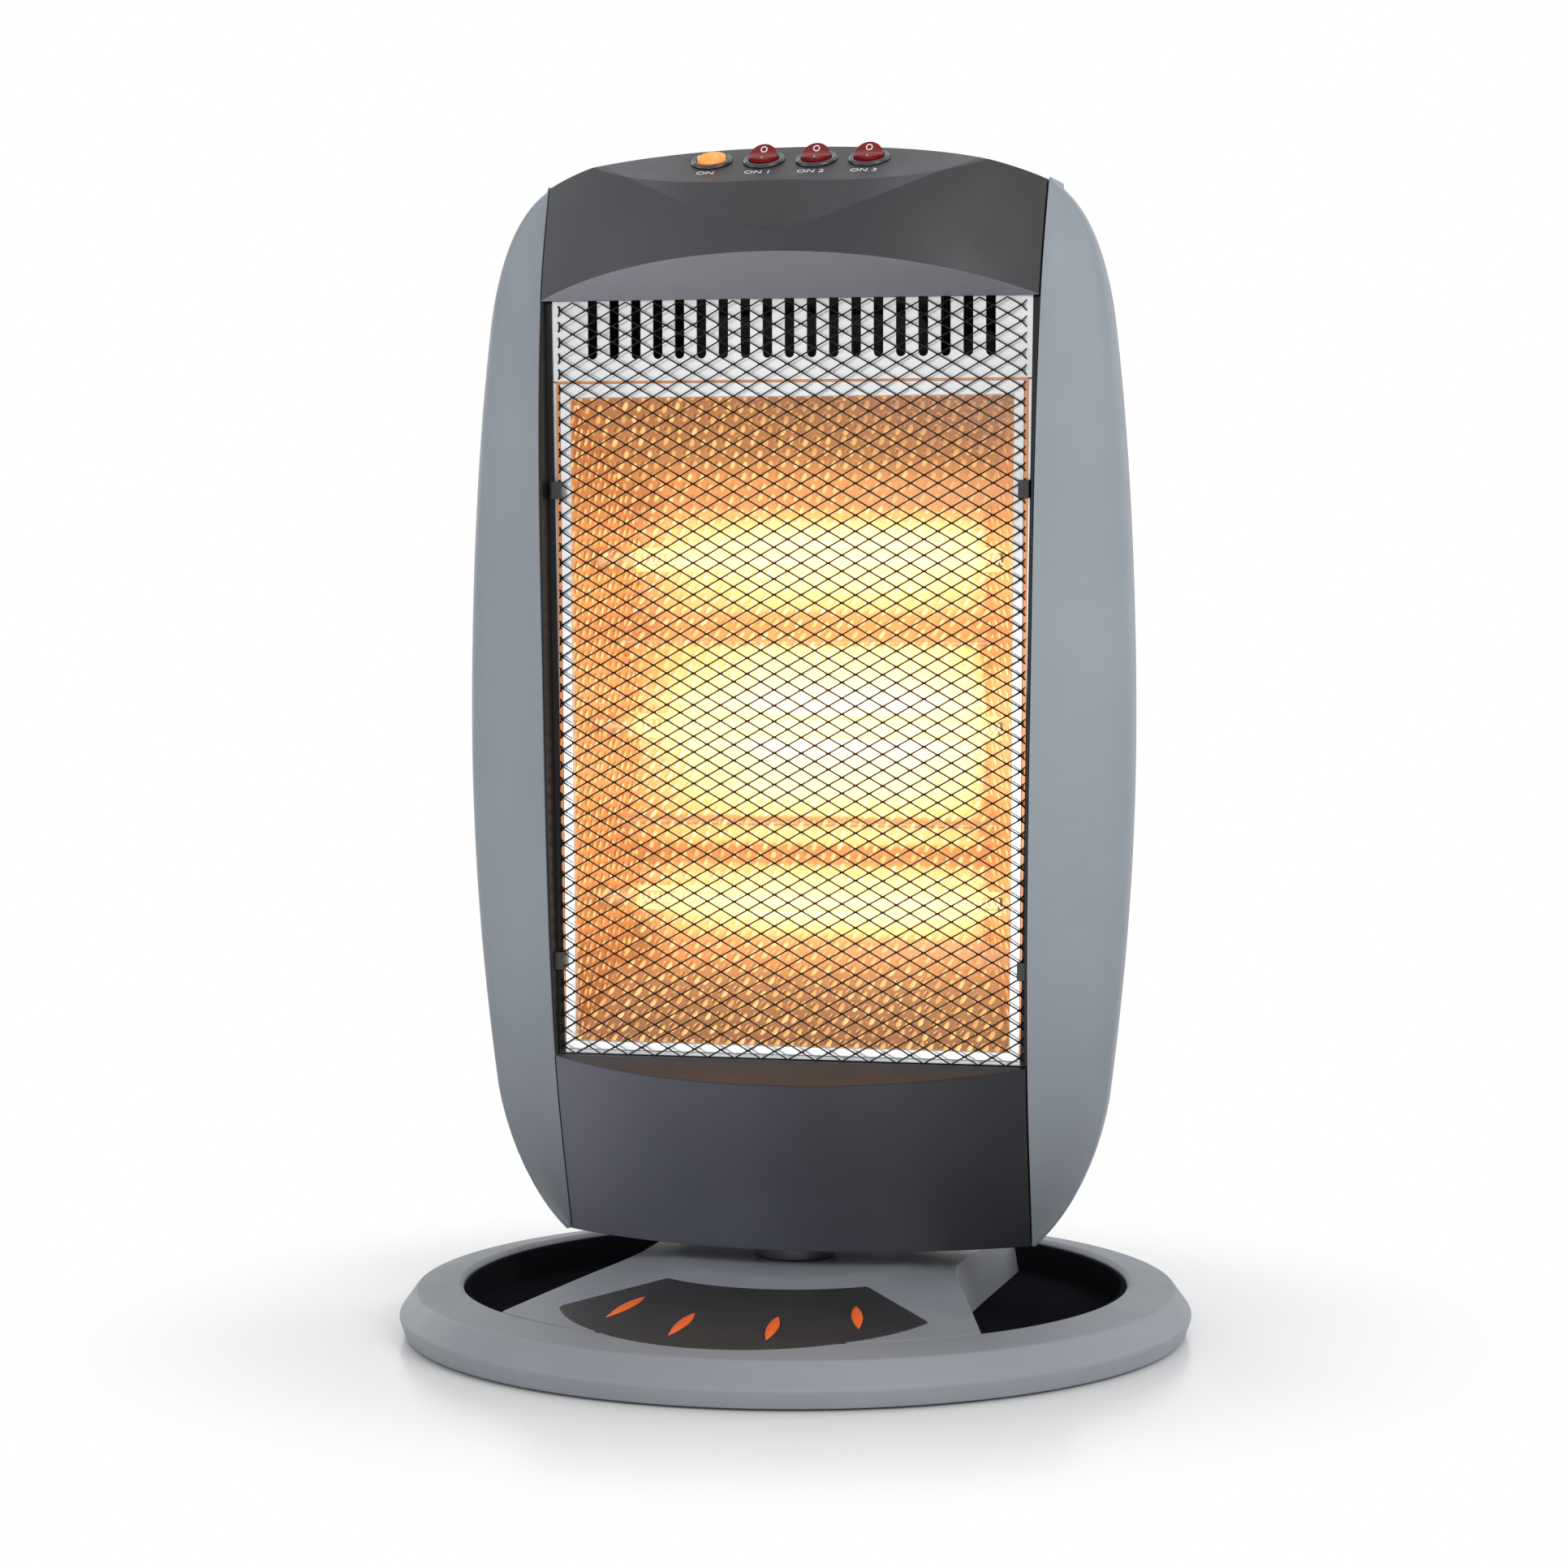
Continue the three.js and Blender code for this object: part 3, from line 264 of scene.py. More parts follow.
# ---------------------------------------------------------------- nodes of a material
class Value:
    """One output of a node. Plain arithmetic on it adds a math node for each step."""

    def __init__(self, tree, socket):
        self.tree = tree
        self.socket = socket

    def step(self, operation, *terms):
        return Node(self.tree, "ShaderNodeMath", dict(enumerate(terms)), operation=operation)[0]

    def clamped(self):
        """The same step, kept between 0 and 1."""
        self.socket.node.use_clamp = True
        return self

    def __add__(self, other):
        return self.step("ADD", self, other)

    def __sub__(self, other):
        return self.step("SUBTRACT", self, other)

    def __rsub__(self, other):
        return self.step("SUBTRACT", other, self)

    def __mul__(self, other):
        return self.step("MULTIPLY", self, other)

    def __truediv__(self, other):
        return self.step("DIVIDE", self, other)

    def __mod__(self, other):
        return self.step("FLOORED_MODULO", self, other)

    def __pow__(self, other):
        return self.step("POWER", self, other)

    def __abs__(self):
        return self.step("ABSOLUTE", self)

    def __gt__(self, other):
        return self.step("GREATER_THAN", self, other)

    def __lt__(self, other):
        return self.step("LESS_THAN", self, other)


class Node:
    """A node with its inputs filled in. node[0] or node["Fac"] is the Value of one of its outputs."""

    def __init__(self, tree, kind, inputs=None, **settings):
        self.tree = tree
        self.node = tree.nodes.new(kind)
        for key, value in settings.items():
            setattr(self.node, key, value)
        self.fill(inputs or {})

    def fill(self, inputs):
        for key, value in inputs.items():
            slot = self.node.inputs[key]
            if isinstance(value, Value):
                self.tree.links.new(value.socket, slot)
            else:
                slot.default_value = value

    def __getitem__(self, key):
        return Value(self.tree, self.node.outputs[key])


def node_material(name):
    made = bpy.data.materials.new(name)
    made.use_nodes = True
    made.node_tree.nodes.clear()
    shader = Node(made.node_tree, "ShaderNodeBsdfPrincipled")
    out = Node(made.node_tree, "ShaderNodeOutputMaterial", {"Surface": shader[0]})
    return made, shader, out


def place_on_piece(tree, output="Object"):
    """The place on the piece in metres, or its "Normal", as three values."""
    split = Node(tree, "ShaderNodeSeparateXYZ", {0: Node(tree, "ShaderNodeTexCoord")[output]})
    return split[0], split[1], split[2]


def noise(tree, scale, detail=3.0, roughness=0.55):
    place = Node(tree, "ShaderNodeTexCoord")["Object"]
    inputs = {"Vector": place, "Scale": scale, "Detail": detail, "Roughness": roughness}
    return Node(tree, "ShaderNodeTexNoise", inputs)["Fac"]


def remap(value, low, high, to_low=0.0, to_high=1.0, how="LINEAR"):
    inputs = {"Value": value, "From Min": low, "From Max": high, "To Min": to_low, "To Max": to_high}
    return Node(value.tree, "ShaderNodeMapRange", inputs, interpolation_type=how)["Result"]


def spread(value, low, high):
    """Noise, which mostly lies between 0.3 and 0.7, stretched to run from low to high."""
    return remap(value, 0.3, 0.7, low, high)


def above(value, limit):
    """1 where value is over the limit, with a short soft step."""
    return remap(value - limit, -0.0002, 0.0002)


def blend_colour(fac, a, b):
    first, second = [(*c, 1) if isinstance(c, tuple) else c for c in (a, b)]
    return Node(fac.tree, "ShaderNodeMix", {0: fac, 6: first, 7: second}, data_type="RGBA")[2]


def ramp(value, pairs, interpolation="LINEAR"):
    """Colours by value, through (position, colour) pairs with positions from 0 to 1."""
    made = Node(value.tree, "ShaderNodeValToRGB", {0: value})
    band = made.node.color_ramp
    band.interpolation = interpolation
    while len(band.elements) > 1:
        band.elements.remove(band.elements[-1])
    for i, (at, colour) in enumerate(pairs):
        stop = band.elements[0] if i == 0 else band.elements.new(at)
        stop.position = at
        stop.color = (*colour, 1)
    return made[0]


def mapped(value, pairs):
    """A smooth curve of value through (position, level) pairs, with levels from 0 to 1."""
    low, high = pairs[0][0], pairs[-1][0]
    stops = [((where - low) / (high - low), (level, level, level)) for where, level in pairs]
    return ramp(remap(value, low, high), stops, "EASE")


def bump(height, strength, distance, normal=None):
    inputs = {"Height": height, "Strength": strength, "Distance": distance}
    if normal is not None:
        inputs["Normal"] = normal
    return Node(height.tree, "ShaderNodeBump", inputs)[0]


# ---------------------------------------------------------------- head form, as in the part's source
def cubic(knots):
    zs = [k[0] for k in knots]
    vs = [k[1] for k in knots]

    def at(z):
        if z <= zs[0]:
            return vs[0]
        if z >= zs[-1]:
            return vs[-1]
        i = next(k for k in range(1, len(zs)) if zs[k] >= z)
        t0, t1 = zs[i - 1], zs[i]
        prev, nxt = (i - 2, i + 1)
        t_prev = zs[prev] if prev >= 0 else t1
        v_prev = vs[prev] if prev >= 0 else vs[i]
        t_next = zs[nxt] if nxt < len(zs) else t0
        v_next = vs[nxt] if nxt < len(zs) else vs[i - 1]
        half = (t1 - t0) / 2
        wp, wn = half / (t0 - t_prev), half / (t_next - t1)
        p = (z - t0) / (t1 - t0)
        q, r = p * p, p * p * p
        sp = -wp * r + 2 * wp * q - wp * p
        s0 = (1 + wp) * r + (-1.5 - 2 * wp) * q + (-0.5 + wp) * p + 1
        s1 = (-1 - wn) * r + (1.5 + wn) * q + 0.5 * p
        sn = wn * r - wn * q
        return sp * v_prev + s0 * vs[i - 1] + s1 * vs[i] + sn * v_next

    return at


seam_depth = cubic([(HEAD_BOTTOM, 6), (LOWER_EDGE, FACE_PLANE), (MIDDLE, -22), (UPPER_EDGE, FACE_PLANE),
                    (SEAM_TOP, 2), (HEAD_TOP + 6, 12)])
rear_depth = cubic([(HEAD_BOTTOM, 50), (LOWER_EDGE, 54), (MIDDLE, 57), (UPPER_EDGE, 52), (SEAM_TOP, 38),
                    (HEAD_TOP + 6, 28)])


SEAM_FOOT, SEAM_CROWN = 98.7, 105.2


def seam_half(z):
    """Half the width of the head's middle, between its two side panels."""
    return SEAM_FOOT + (z - HEAD_BOTTOM) / (SEAM_TOP - HEAD_BOTTOM) * (SEAM_CROWN - SEAM_FOOT)


def bow(x):
    return FRONT_RADIUS - math.sqrt(FRONT_RADIUS**2 - x * x)


def front_middle(z):
    return seam_depth(z) - bow(seam_half(z))


HEAD_OUTLINE = (bezier((100.2, HEAD_BOTTOM), (111, 46.5), (124.6, 67.7), (130, 97), 40)
                + bezier((130, 97), (137, 150), (140.6, 200), (140.6, 250), 40)
                + bezier((140.6, 250), (140.6, 310), (137, 371), (131, 420), 40)
                + bezier((131, 420), (127, 448), (118, 468.2), (103, SEAM_TOP), 40))


def outline_half(z):
    for (x0, z0), (x1, z1) in zip(HEAD_OUTLINE, HEAD_OUTLINE[1:]):
        if z0 <= z <= z1 and z1 > z0:
            return x0 + (x1 - x0) * (z - z0) / (z1 - z0)
    return HEAD_OUTLINE[0][0] if z < HEAD_BOTTOM else HEAD_OUTLINE[-1][0]


def levels(low, high, step):
    count = max(2, round((high - low) / step))
    return [low + (high - low) * i / count for i in range(count + 1)]


def centre_body(inset, low=HEAD_BOTTOM, high=495, step=6):
    rings = []
    for z in levels(low, high, step):
        half = seam_half(z) - SEAM_GAP / 2 - inset
        ring = []
        for i in range(57):
            x = -half + 2 * half * i / 56
            ring.append((x, front_middle(z) + inset * 1.05 + bow(x), z + (inset if z == HEAD_BOTTOM else 0)))
        soft = 5 if inset == 0 else 2
        rear = rear_depth(z) - inset
        for x0, x1 in ((half, half - soft), (soft - half, -half)):
            start, end = (rear - soft, rear) if x0 > 0 else (rear, rear - soft)
            for k in range(5):
                t = k / 4
                if x0 > 0:
                    ring.append((x0 + (x1 - x0) * (1 - math.cos(t * math.pi / 2)),
                                 start + soft * math.sin(t * math.pi / 2), z))
                else:
                    ring.append((x0 + (x1 - x0) * math.sin(t * math.pi / 2),
                                 end + soft * math.cos(t * math.pi / 2), z))
        rings.append(ring)
    return loft("centre", rings)


def under_crown(inset):
    crown = [(x, z - inset) for x, z in bezier((103, SEAM_TOP), (80, 485), (45, HEAD_TOP), (0, HEAD_TOP), 30)]
    shoulder = SEAM_TOP - 12 - inset
    outline = ([(130, shoulder), (130, 0), (-130, 0), (-130, shoulder)] + [(-x, z) for x, z in crown]
               + crown[:-1][::-1])
    return prism("crown", outline, -90, 90, "Y")


def under_panel(inset):
    slope = math.tan(PANEL_SLOPE)
    low = PANEL_FRONT[1] - inset / math.cos(PANEL_SLOPE)
    points = [(-90, 0), (90, 0), (90, low + (90 - PANEL_FRONT[0]) * slope),
              (-90, low + (-90 - PANEL_FRONT[0]) * slope)]
    return prism("panel", points, -130, 130, "X")


SCOOP_BOTTOM, SCOOP_CORNER, SCOOP_HALF, SCOOP_SOFT = 452.5, 480, 73, 13
SCOOP_SLOPE = (SCOOP_CORNER - SCOOP_BOTTOM) / (math.hypot(SCOOP_HALF, SCOOP_SOFT) - SCOOP_SOFT)
SCOOP_STEEPNESS = 2.56


def scoop_edge(x):
    """Height of the V that the scoop cuts into the bowed front."""
    return SCOOP_BOTTOM + SCOOP_SLOPE * (math.hypot(x, SCOOP_SOFT) - SCOOP_SOFT)


def behind_scoop(inset):
    half, steps = 125, 100
    rings = []
    for z in levels(407, 505, 7):
        ring = []
        for i in range(steps + 1):
            x = -half + 2 * half * i / steps
            ring.append((x, front_middle(z) + bow(x) + (z - scoop_edge(x)) / SCOOP_STEEPNESS
                         + inset * 1.2, z))
        rings.append(ring + [(half, 130, z), (-half, 130, z)])
    return loft("scoop", rings)


# how steeply the brow over the grille rises to the front, and the ledge under it falls
BROW = 19 / bow(seam_half(UPPER_EDGE))
LEDGE = 5.7 / bow(seam_half(LOWER_EDGE))


def brow(inset):
    rise = inset * math.hypot(1, BROW)
    points = [(-90, 300), (60, 300), (60, UPPER_EDGE + inset), (FACE_PLANE, UPPER_EDGE + rise),
              (-90, UPPER_EDGE + rise + 76 * BROW)]
    return prism("brow", points, -130, 130, "X")


def top_form(inset):
    return cut(meet(centre_body(inset, 400), under_crown(inset), under_panel(inset), behind_scoop(inset)),
               brow(inset))


def switch_holes(radius):
    made = []
    for x in SWITCH_XS:
        hole = prism("hole", circle(radius, 48), -20, 20, "Z")
        hole.data.transform(Matrix.Translation((x, SWITCH_Y, SWITCH_Z))
                            @ Matrix.Rotation(PANEL_SLOPE, 4, "X"))
        made.append(hole)
    return made


def make_top_cover():
    outer = meet(top_form(0), block(-130, 130, -90, SPLIT, 300, 520))
    opening = meet(centre_body(COVER_WALL, 400),
                   block(-130, 130, FACE_PLANE + 4.2, 90, 300, UPPER_EDGE + COVER_WALL + 2))
    cover = cut(outer, top_form(COVER_WALL), opening, *switch_holes(7.8))
    keep(cover, "top_cover_moulding", "head", top_finish, ["top_cover"], sharp=18)


def ledge(inset):
    points = [(-90, LOWER_EDGE - inset - 76 * LEDGE), (FACE_PLANE, LOWER_EDGE - inset),
              (90, LOWER_EDGE - inset), (90, 0), (-90, 0)]
    return prism("ledge", points, -130, 130, "X")


def make_bottom_cover():
    outer = meet(centre_body(0, HEAD_BOTTOM, 130), ledge(0), block(-130, 130, -90, SPLIT, 0, 300))
    opening = meet(centre_body(COVER_WALL, HEAD_BOTTOM, 130),
                   block(-130, 130, FACE_PLANE + 8, 90, LOWER_EDGE - 6, 300))
    inner = meet(centre_body(COVER_WALL, HEAD_BOTTOM, 130), ledge(COVER_WALL))
    cover = cut(outer, inner, opening, disc(12, 0, 60))
    keep(cover, "bottom_cover_moulding", "head", bottom_finish, ["bottom_cover"], sharp=18)


def make_rear_cover():
    outer = meet(centre_body(0), under_crown(0), block(-130, 130, SPLIT + SEAM_GAP, 90, 0, 520))
    inner = meet(centre_body(COVER_WALL), under_crown(COVER_WALL))

    def pocket(grow):
        x, half = 48 + grow, 15 + grow
        outline = rounded([(-x, 405 - half), (x, 405 - half), (x, 405 + half), (-x, 405 + half)], 8 + grow, 8)
        return prism("pocket", outline, rear_depth(405) - 20 - grow, 90, "Y")

    slots = []
    for low in (130, 195, 260):
        for i in range(11):
            slots.append(prism("slot", stadium((i - 5) * 13, 1.8, low, low + 46), 47, 90, "Y"))
    screws = [rod_y(4, rear_depth(z) - 1.2, 90, x, z) for x, z in SCREWS]
    cover = cut(outer, cut(inner, pocket(COVER_WALL)), pocket(0), merged("slots", slots),
                merged("screws", screws), disc(12, 0, 60), rod_y(6.8, 40, 90, -62, 62))
    keep(cover, "rear_cover_moulding", "head", rear_finish, ["rear_cover"], sharp=25)


SCREWS = [(-88, 62), (88, 62), (-90, 225), (90, 225), (-88, 435), (88, 435)]


def make_screws():
    for i, (x, z) in enumerate(SCREWS):
        face = rear_depth(z) - 1.2
        head = revolve("screw",
                       rounded([(0.01, 0), (3.4, 0), (3.4, 0.5), (0.01, 1.3)], [0, 0.1, 0.5, 0], 3), 32)
        head.data.transform(Matrix.Translation((x, face, z)) @ Matrix.Rotation(-math.pi / 2, 4, "X"))
        for turn in (0, math.pi / 2):
            slot_form = block(-2, 2, face + 0.5, face + 3, -0.4, 0.4)
            slot_form.data.transform(Matrix.Translation((x, 0, z)) @ Matrix.Rotation(turn, 4, "Y"))
            cut(head, slot_form)
        keep(head, f"rear_screw_{i + 1}", "head", steel)


def panel_section(z, side, inset, steps=22):
    width = outline_half(z) - inset
    start = seam_half(z) + SEAM_GAP / 2 - inset * 3
    reach = max(width - start, 0.4)
    front = seam_depth(z) + inset + 0.3
    rear = rear_depth(z) - inset
    lean = bow(seam_half(z) + 1) - bow(seam_half(z))
    run = 0.45 * reach
    far = start + reach
    mid = WIDEST_DEPTH
    first = bezier((start, front), (start + run, front + run * lean), (far, mid + (front - mid) * 0.45),
                   (far, mid), steps)
    second = bezier((far, mid), (far, mid + (rear - mid) * 0.7), (start + 0.6 * reach, rear),
                    (start, rear), steps)
    points = [(x, y, z) for x, y in first + second[1:]]
    return points if side > 0 else [(-x, y, z) for x, y, z in points]


def make_side_panel(name, side):
    zs = levels(HEAD_BOTTOM, 56, 2) + levels(56, 440, 7)[1:] + levels(440, SEAM_TOP, 2.2)[1:]
    outer = loft("outer", [panel_section(z, side, 0) for z in zs])
    inner = loft("inner", [panel_section(z, side, COVER_WALL) for z in zs if 66 < z < 455])
    cut(outer, inner)
    keep(outer, f"{name}_moulding", "head", grey, [name], sharp=40)


# ---------------------------------------------------------------- base
DECK = [(0.01, 30.5), (50, 30.5), (64, 28.4), (138, 21.6), (157.7, 18.7)]


def under_deck(lift):
    top = [(r, z + lift) for r, z in DECK]
    eased = rounded(top, [0, 3, 4, 0, 0], 4, closed=False)
    profile = [(0.01, 0), (157.7, 0)] + eased[::-1]
    return revolve("deck", profile, 144)


def ring_shell():
    profile = [(162.3, 1), (165, 8.6), (157.7, 18.7), (139.6, 21.35), (138, 20), (138, 6.1), (140.5, 6.1),
               (140.5, 19.1), (156.7, 16.2), (162.5, 8.6), (159.8, 1)]
    return revolve("ring", rounded(profile, [0.6, 1.6, 1.0, 0.8, 0.8, 0, 0, 0, 0, 0, 0.4], 5), 180)


def bridge_outline(spread_by):
    """The bridge from above: two ends that follow the ring, and flanks drawn in at the waist."""
    reach = RING_INNER + 1

    def end(half, side):
        last = math.asin((half + spread_by) / reach)
        turns = [side * last * (2 * i / 24 - 1) for i in range(25)]
        return [(math.sin(t) * reach, -side * math.cos(t) * reach) for t in turns]

    waist = 67 + spread_by
    front, rear = end(95, 1), end(70, -1)
    points = front + [(waist, -4), (waist, 26)] + rear + [(-waist, 26), (-waist, -4)]
    radii = [0] * len(front) + [22, 22] + [0] * len(rear) + [22, 22]
    return rounded(points, radii, 8)


def bridge_block(inset, bottom):
    made = loft("bridge", [[(x, y, bottom) for x, y in bridge_outline(5 - inset)],
                           [(x, y, HUB_HEIGHT + 1) for x, y in bridge_outline(-inset)]])
    return meet(made, under_deck(-inset))


def fan(grow, low=0, high=40):
    half = math.radians(39)
    centre = 79 - 147
    corner = (math.sin(half) * 120, -math.cos(half) * 120)
    reach = math.atan2(corner[0], -(corner[1] - centre))
    inner = 66 - grow
    side = half + grow / 147
    outer = arc(0, centre, 79 + grow, -math.pi / 2 - reach, -math.pi / 2 + reach, 40)
    inside = arc(0, 0, inner, -math.pi / 2 + side, -math.pi / 2 - side, 30)
    radii = [2.4] + [0] * 39 + [2.4] + [1.6] + [0] * 29 + [1.6]
    return prism("fan", rounded(outer + inside, radii, 4), low, high, "Z")


MARKS = [(-26.1, 107), (-8.7, 120), (8.7, 120), (26.1, 107)]


def leaf_outline(grow, blunt=0.0):
    """A pointed leaf; a blunt one is fuller towards its upper end."""
    half, width = 16 + grow, 4.6 + 2 * grow
    side = []
    for i in range(21):
        t = i / 20
        side.append((2 * t * (1 - t) * width * (1 + blunt * (2 * t - 1)), (2 * t - 1) * half))
    return side + [(-x, y) for x, y in side[1:-1][::-1]]


def mark_place(i):
    """Where mark i lies, and how far it leans: less than its place round the centre."""
    angle, distance = MARKS[i]
    turn = math.radians(angle)
    return math.sin(turn) * distance, -math.cos(turn) * distance, math.radians((i - 1.5) * 9.4)


def deck_height(r):
    for (r0, z0), (r1, z1) in zip(DECK, DECK[1:]):
        if r0 <= r <= r1:
            return z0 + (z1 - z0) * (r - r0) / (r1 - r0)
    return DECK[-1][1]


def make_marks():
    for i in range(len(MARKS)):
        px, py, lean = mark_place(i)
        rings = []
        for share, rise in ((1.0, -1.0), (1.0, 0.25), (0.94, 0.55), (0.80, 0.85), (0.55, 1.08),
                            (0.25, 1.2), (0.02, 1.22)):
            ring = []
            for x, y in leaf_outline(0, 0.22):
                u, v = x * share, y * share
                qx = px + u * math.cos(lean) - v * math.sin(lean)
                qy = py + u * math.sin(lean) + v * math.cos(lean)
                ring.append((qx, qy, deck_height(math.hypot(qx, qy)) + rise))
            rings.append(ring)
        keep(loft("mark", rings), f"orange_mark_{i + 1}", "base", orange_gloss,
             [f"base_mark_{i + 1}"])


def slab(low, high):
    return cut(under_deck(high), under_deck(low))


def make_base():
    bottom = 6.1
    support = meet(fan(COVER_WALL), slab(-1.4 - COVER_WALL, -1.4), bridge_block(0, bottom))
    bridge = cut(bridge_block(0, bottom), bridge_block(COVER_WALL, -1))
    recess = cut(fan(FIT), under_deck(-1.4))
    shell = join(ring_shell(), bridge, support)
    cut(shell, recess, disc(9.3, 0, 36))
    keep(shell, "base_moulding", "base", grey_base, ["base_shell"], sharp=22)
    # the plate is near black, a dark sheet that also paints the shade in the wells; its upstand lines the
    # ring's inner wall as painted shade
    profile = [(0.01, 3), (158.8, 3), (158.8, 5.8), (137.4, 5.8), (137.4, 19.6), (135.4, 19.6),
               (135.4, 5.8), (0.01, 5.8)]
    plate = cut(revolve("plate", rounded(profile, [0, 0.4, 0.4, 0, 0.8, 0.8, 2, 0], 4), 180),
                bridge_block(-FIT, 5.8))
    keep(plate, "base_floor_plate", "base", floor_and_shade_black, ["base_plate"])
    inlay = meet(fan(0), slab(-1.1, 0.2))
    holes = []
    for i in range(len(MARKS)):
        px, py, lean = mark_place(i)
        hole = prism("leaf", leaf_outline(FIT, 0.22), 0, 40, "Z")
        hole.data.transform(Matrix.Translation((px, py, 0)) @ Matrix.Rotation(lean, 4, "Z"))
        holes.append(hole)
    cut(inlay, *holes)
    keep(inlay, "fan_inlay", "base", inlay_black, ["base_inlay"], sharp=22)
    collar = revolve("collar", rounded([(9.3, 30.8), (17, 30.8), (17, 36.4), (9.3, 36.4)],
                                       [0, 0.8, 0.8, 0], 5), 96)
    keep(collar, "collar_ring", "base", black, ["swivel_collar"])


# ---------------------------------------------------------------- grille
MESH_X, MESH_Z = 11.4 / 2, 6.5 / 2
STRAND = 0.6
MESH_LOW, MESH_HIGH = 114.2, 426.3
MESH_FACE, MESH_FLAT, MESH_BEND = -13, 94.4, 3.9


def mesh_place(u, out=0.0):
    """Where a point of the flat mesh lies once its sides are turned back round a small radius."""
    side = 1 if u >= 0 else -1
    run = abs(u) - MESH_FLAT
    if run <= 0:
        return Vector((u, MESH_FACE - out, 0))
    turn = min(run / MESH_BEND, math.pi / 2)
    across = MESH_FLAT + (MESH_BEND + out) * math.sin(turn)
    return Vector((side * across, MESH_FACE + MESH_BEND - (MESH_BEND + out) * math.cos(turn), 0))


def make_grille():
    """Expanded mesh: each strand is a thin bar between two knots, and the knots are a little wider."""
    reach = MESH_FLAT + MESH_BEND * math.pi / 2
    columns = math.ceil(reach / MESH_X)
    rows = round((MESH_HIGH - MESH_LOW) / MESH_Z)
    step_z = (MESH_HIGH - MESH_LOW) / rows
    verts, faces = [], []

    def clip(u):
        return max(-reach, min(reach, u))

    def bar(u0, z0, u1, z1, width, deep):
        if abs(u0) > reach and abs(u1) > reach:
            return
        c0, c1 = clip(u0), clip(u1)
        if u1 != u0:
            z0, z1 = (z0 + (z1 - z0) * (c0 - u0) / (u1 - u0), z0 + (z1 - z0) * (c1 - u0) / (u1 - u0))
        a, b = mesh_place(c0), mesh_place(c1)
        a.z, b.z = z0, z1
        along = (b - a).normalized()
        mid = mesh_place((c0 + c1) / 2, 1.0) - mesh_place((c0 + c1) / 2)
        across = along.cross(mid).normalized() * width / 2
        out = mid.normalized() * deep / 2
        start = len(verts)
        for p in (a, b):
            verts.extend([p - across, p + out, p + across, p - out])
        for k in range(4):
            faces.append((start + k, start + (k + 1) % 4, start + 4 + (k + 1) % 4, start + 4 + k))

    for row in range(rows):
        z0, z1 = MESH_LOW + row * step_z, MESH_LOW + (row + 1) * step_z
        for column in range(-columns, columns):
            u0, u1 = column * MESH_X, (column + 1) * MESH_X
            if (row + column) % 2:
                bar(u0, z1, u1, z0, STRAND, 0.9)
            else:
                bar(u0, z0, u1, z1, STRAND, 0.9)
    for row in range(1, rows):
        for column in range(-columns + 1, columns):
            if (row + column) % 2:
                continue
            u, z = column * MESH_X, MESH_LOW + row * step_z
            bar(u - 0.9, z, u + 0.9, z, 0.95, 1.0)
    mesh = bpy.data.meshes.new("mesh")
    mesh.from_pydata([tuple(v) for v in verts], [], faces)
    keep(placed("mesh", mesh), "fine_mesh", "head", mesh_black, ["grille"])


def make_hem():
    """The black folded edge of the grille, which closes the gap between the frame and each side panel."""
    hems = []
    for side in (-1, 1):
        rings = []
        for z in levels(MESH_LOW, MESH_HIGH, 8):
            edge = seam_half(z) - 0.1
            lip = seam_depth(z) + 1.2
            section = [(edge - 3.2, -9.3), (edge - 3.2, -9.85), (edge - 0.8, -9.85), (edge - 0.8, lip),
                       (edge, lip),
                       (edge, -9.3)]
            rings.append([(side * x, y, z) for x, y in section])
        hems.append(loft("hem", rings))
    keep(merged("hem", hems), "mesh_hem", "head", mesh_black)


# ---------------------------------------------------------------- window, reflector and tubes
def make_window():
    """A pressed frame: raised rim round the opening, a groove coloured copper as a painted reflection of the
    glow, and a flat land out to the seams.
    """
    low, high = LOWER_EDGE + FIT, FRAME_TOP
    foot_half, head_half = seam_half(low) - 0.4, seam_half(high) - 0.4
    outer = [(-foot_half, low), (foot_half, low), (head_half, high), (-head_half, high)]
    rim = [(-91.8, 119.5), (91.8, 119.5), (93.2, 387), (-93.2, 387)]

    def ring(points, y, grow, foot=None, head=None):
        made = []
        for i, (x, z) in enumerate(points):
            rise = grow if i > 1 else -grow
            if foot is not None and i < 2:
                rise = -foot
            if head is not None and i > 1:
                rise = head
            made.append((x + grow * (1 if x > 0 else -1), y, z + rise))
        return made

    def band(name, path):
        verts = [p for r in path for p in r]
        faces = []
        for k in range(len(path)):
            for i in range(4):
                a, b = k * 4 + i, k * 4 + (i + 1) % 4
                c = ((k + 1) % len(path)) * 4
                faces.append((a, b, c + (i + 1) % 4, c + i))
        return mesh_object(name, verts, faces)

    # inner return, flat rim along the opening, a step down to the land, and the folded outer edge
    path = [ring(rim, -5.5, 0), ring(rim, -9.5, 0), ring(rim, -9.9, 0.4), ring(rim, -9.9, 4.3, 3.6, 5.9),
            ring(rim, -9.3, 4.7, 4.0, 6.3), ring(outer, -9.2, -0.3), ring(outer, -9.0, -0.1),
            ring(outer, -8.2, -0.1), ring(rim, -8.2, 1.0), ring(rim, -5.5, 0.8)]
    keep(band("frame", path), "window_frame_pressing", "head", silver, ["window_frame"],
         sharp=20)
    # the groove's copper colour is a painted reflection of the glow in the fold
    groove = [ring(rim, -9.2, 4.5, 3.3, 6.1), ring(rim, -9.75, 4.6, 3.3, 6.2),
              ring(rim, -9.75, 6.0, 3.5, 6.9),
              ring(rim, -9.2, 6.1, 3.5, 7.0)]
    keep(band("groove", groove), "window_frame_trim", "head", glow_reflection_copper, sharp=20)


TROUGHS = [(-9, 388), (27, 344), (32, 330), (32, 308), (26, 294.5), (18, 285.5), (26, 277), (32, 266),
           (32, 232),
           (26, 219), (18, 210), (24, 201), (31, 192), (31, 170), (27, 159), (-7.5, 118.6)]


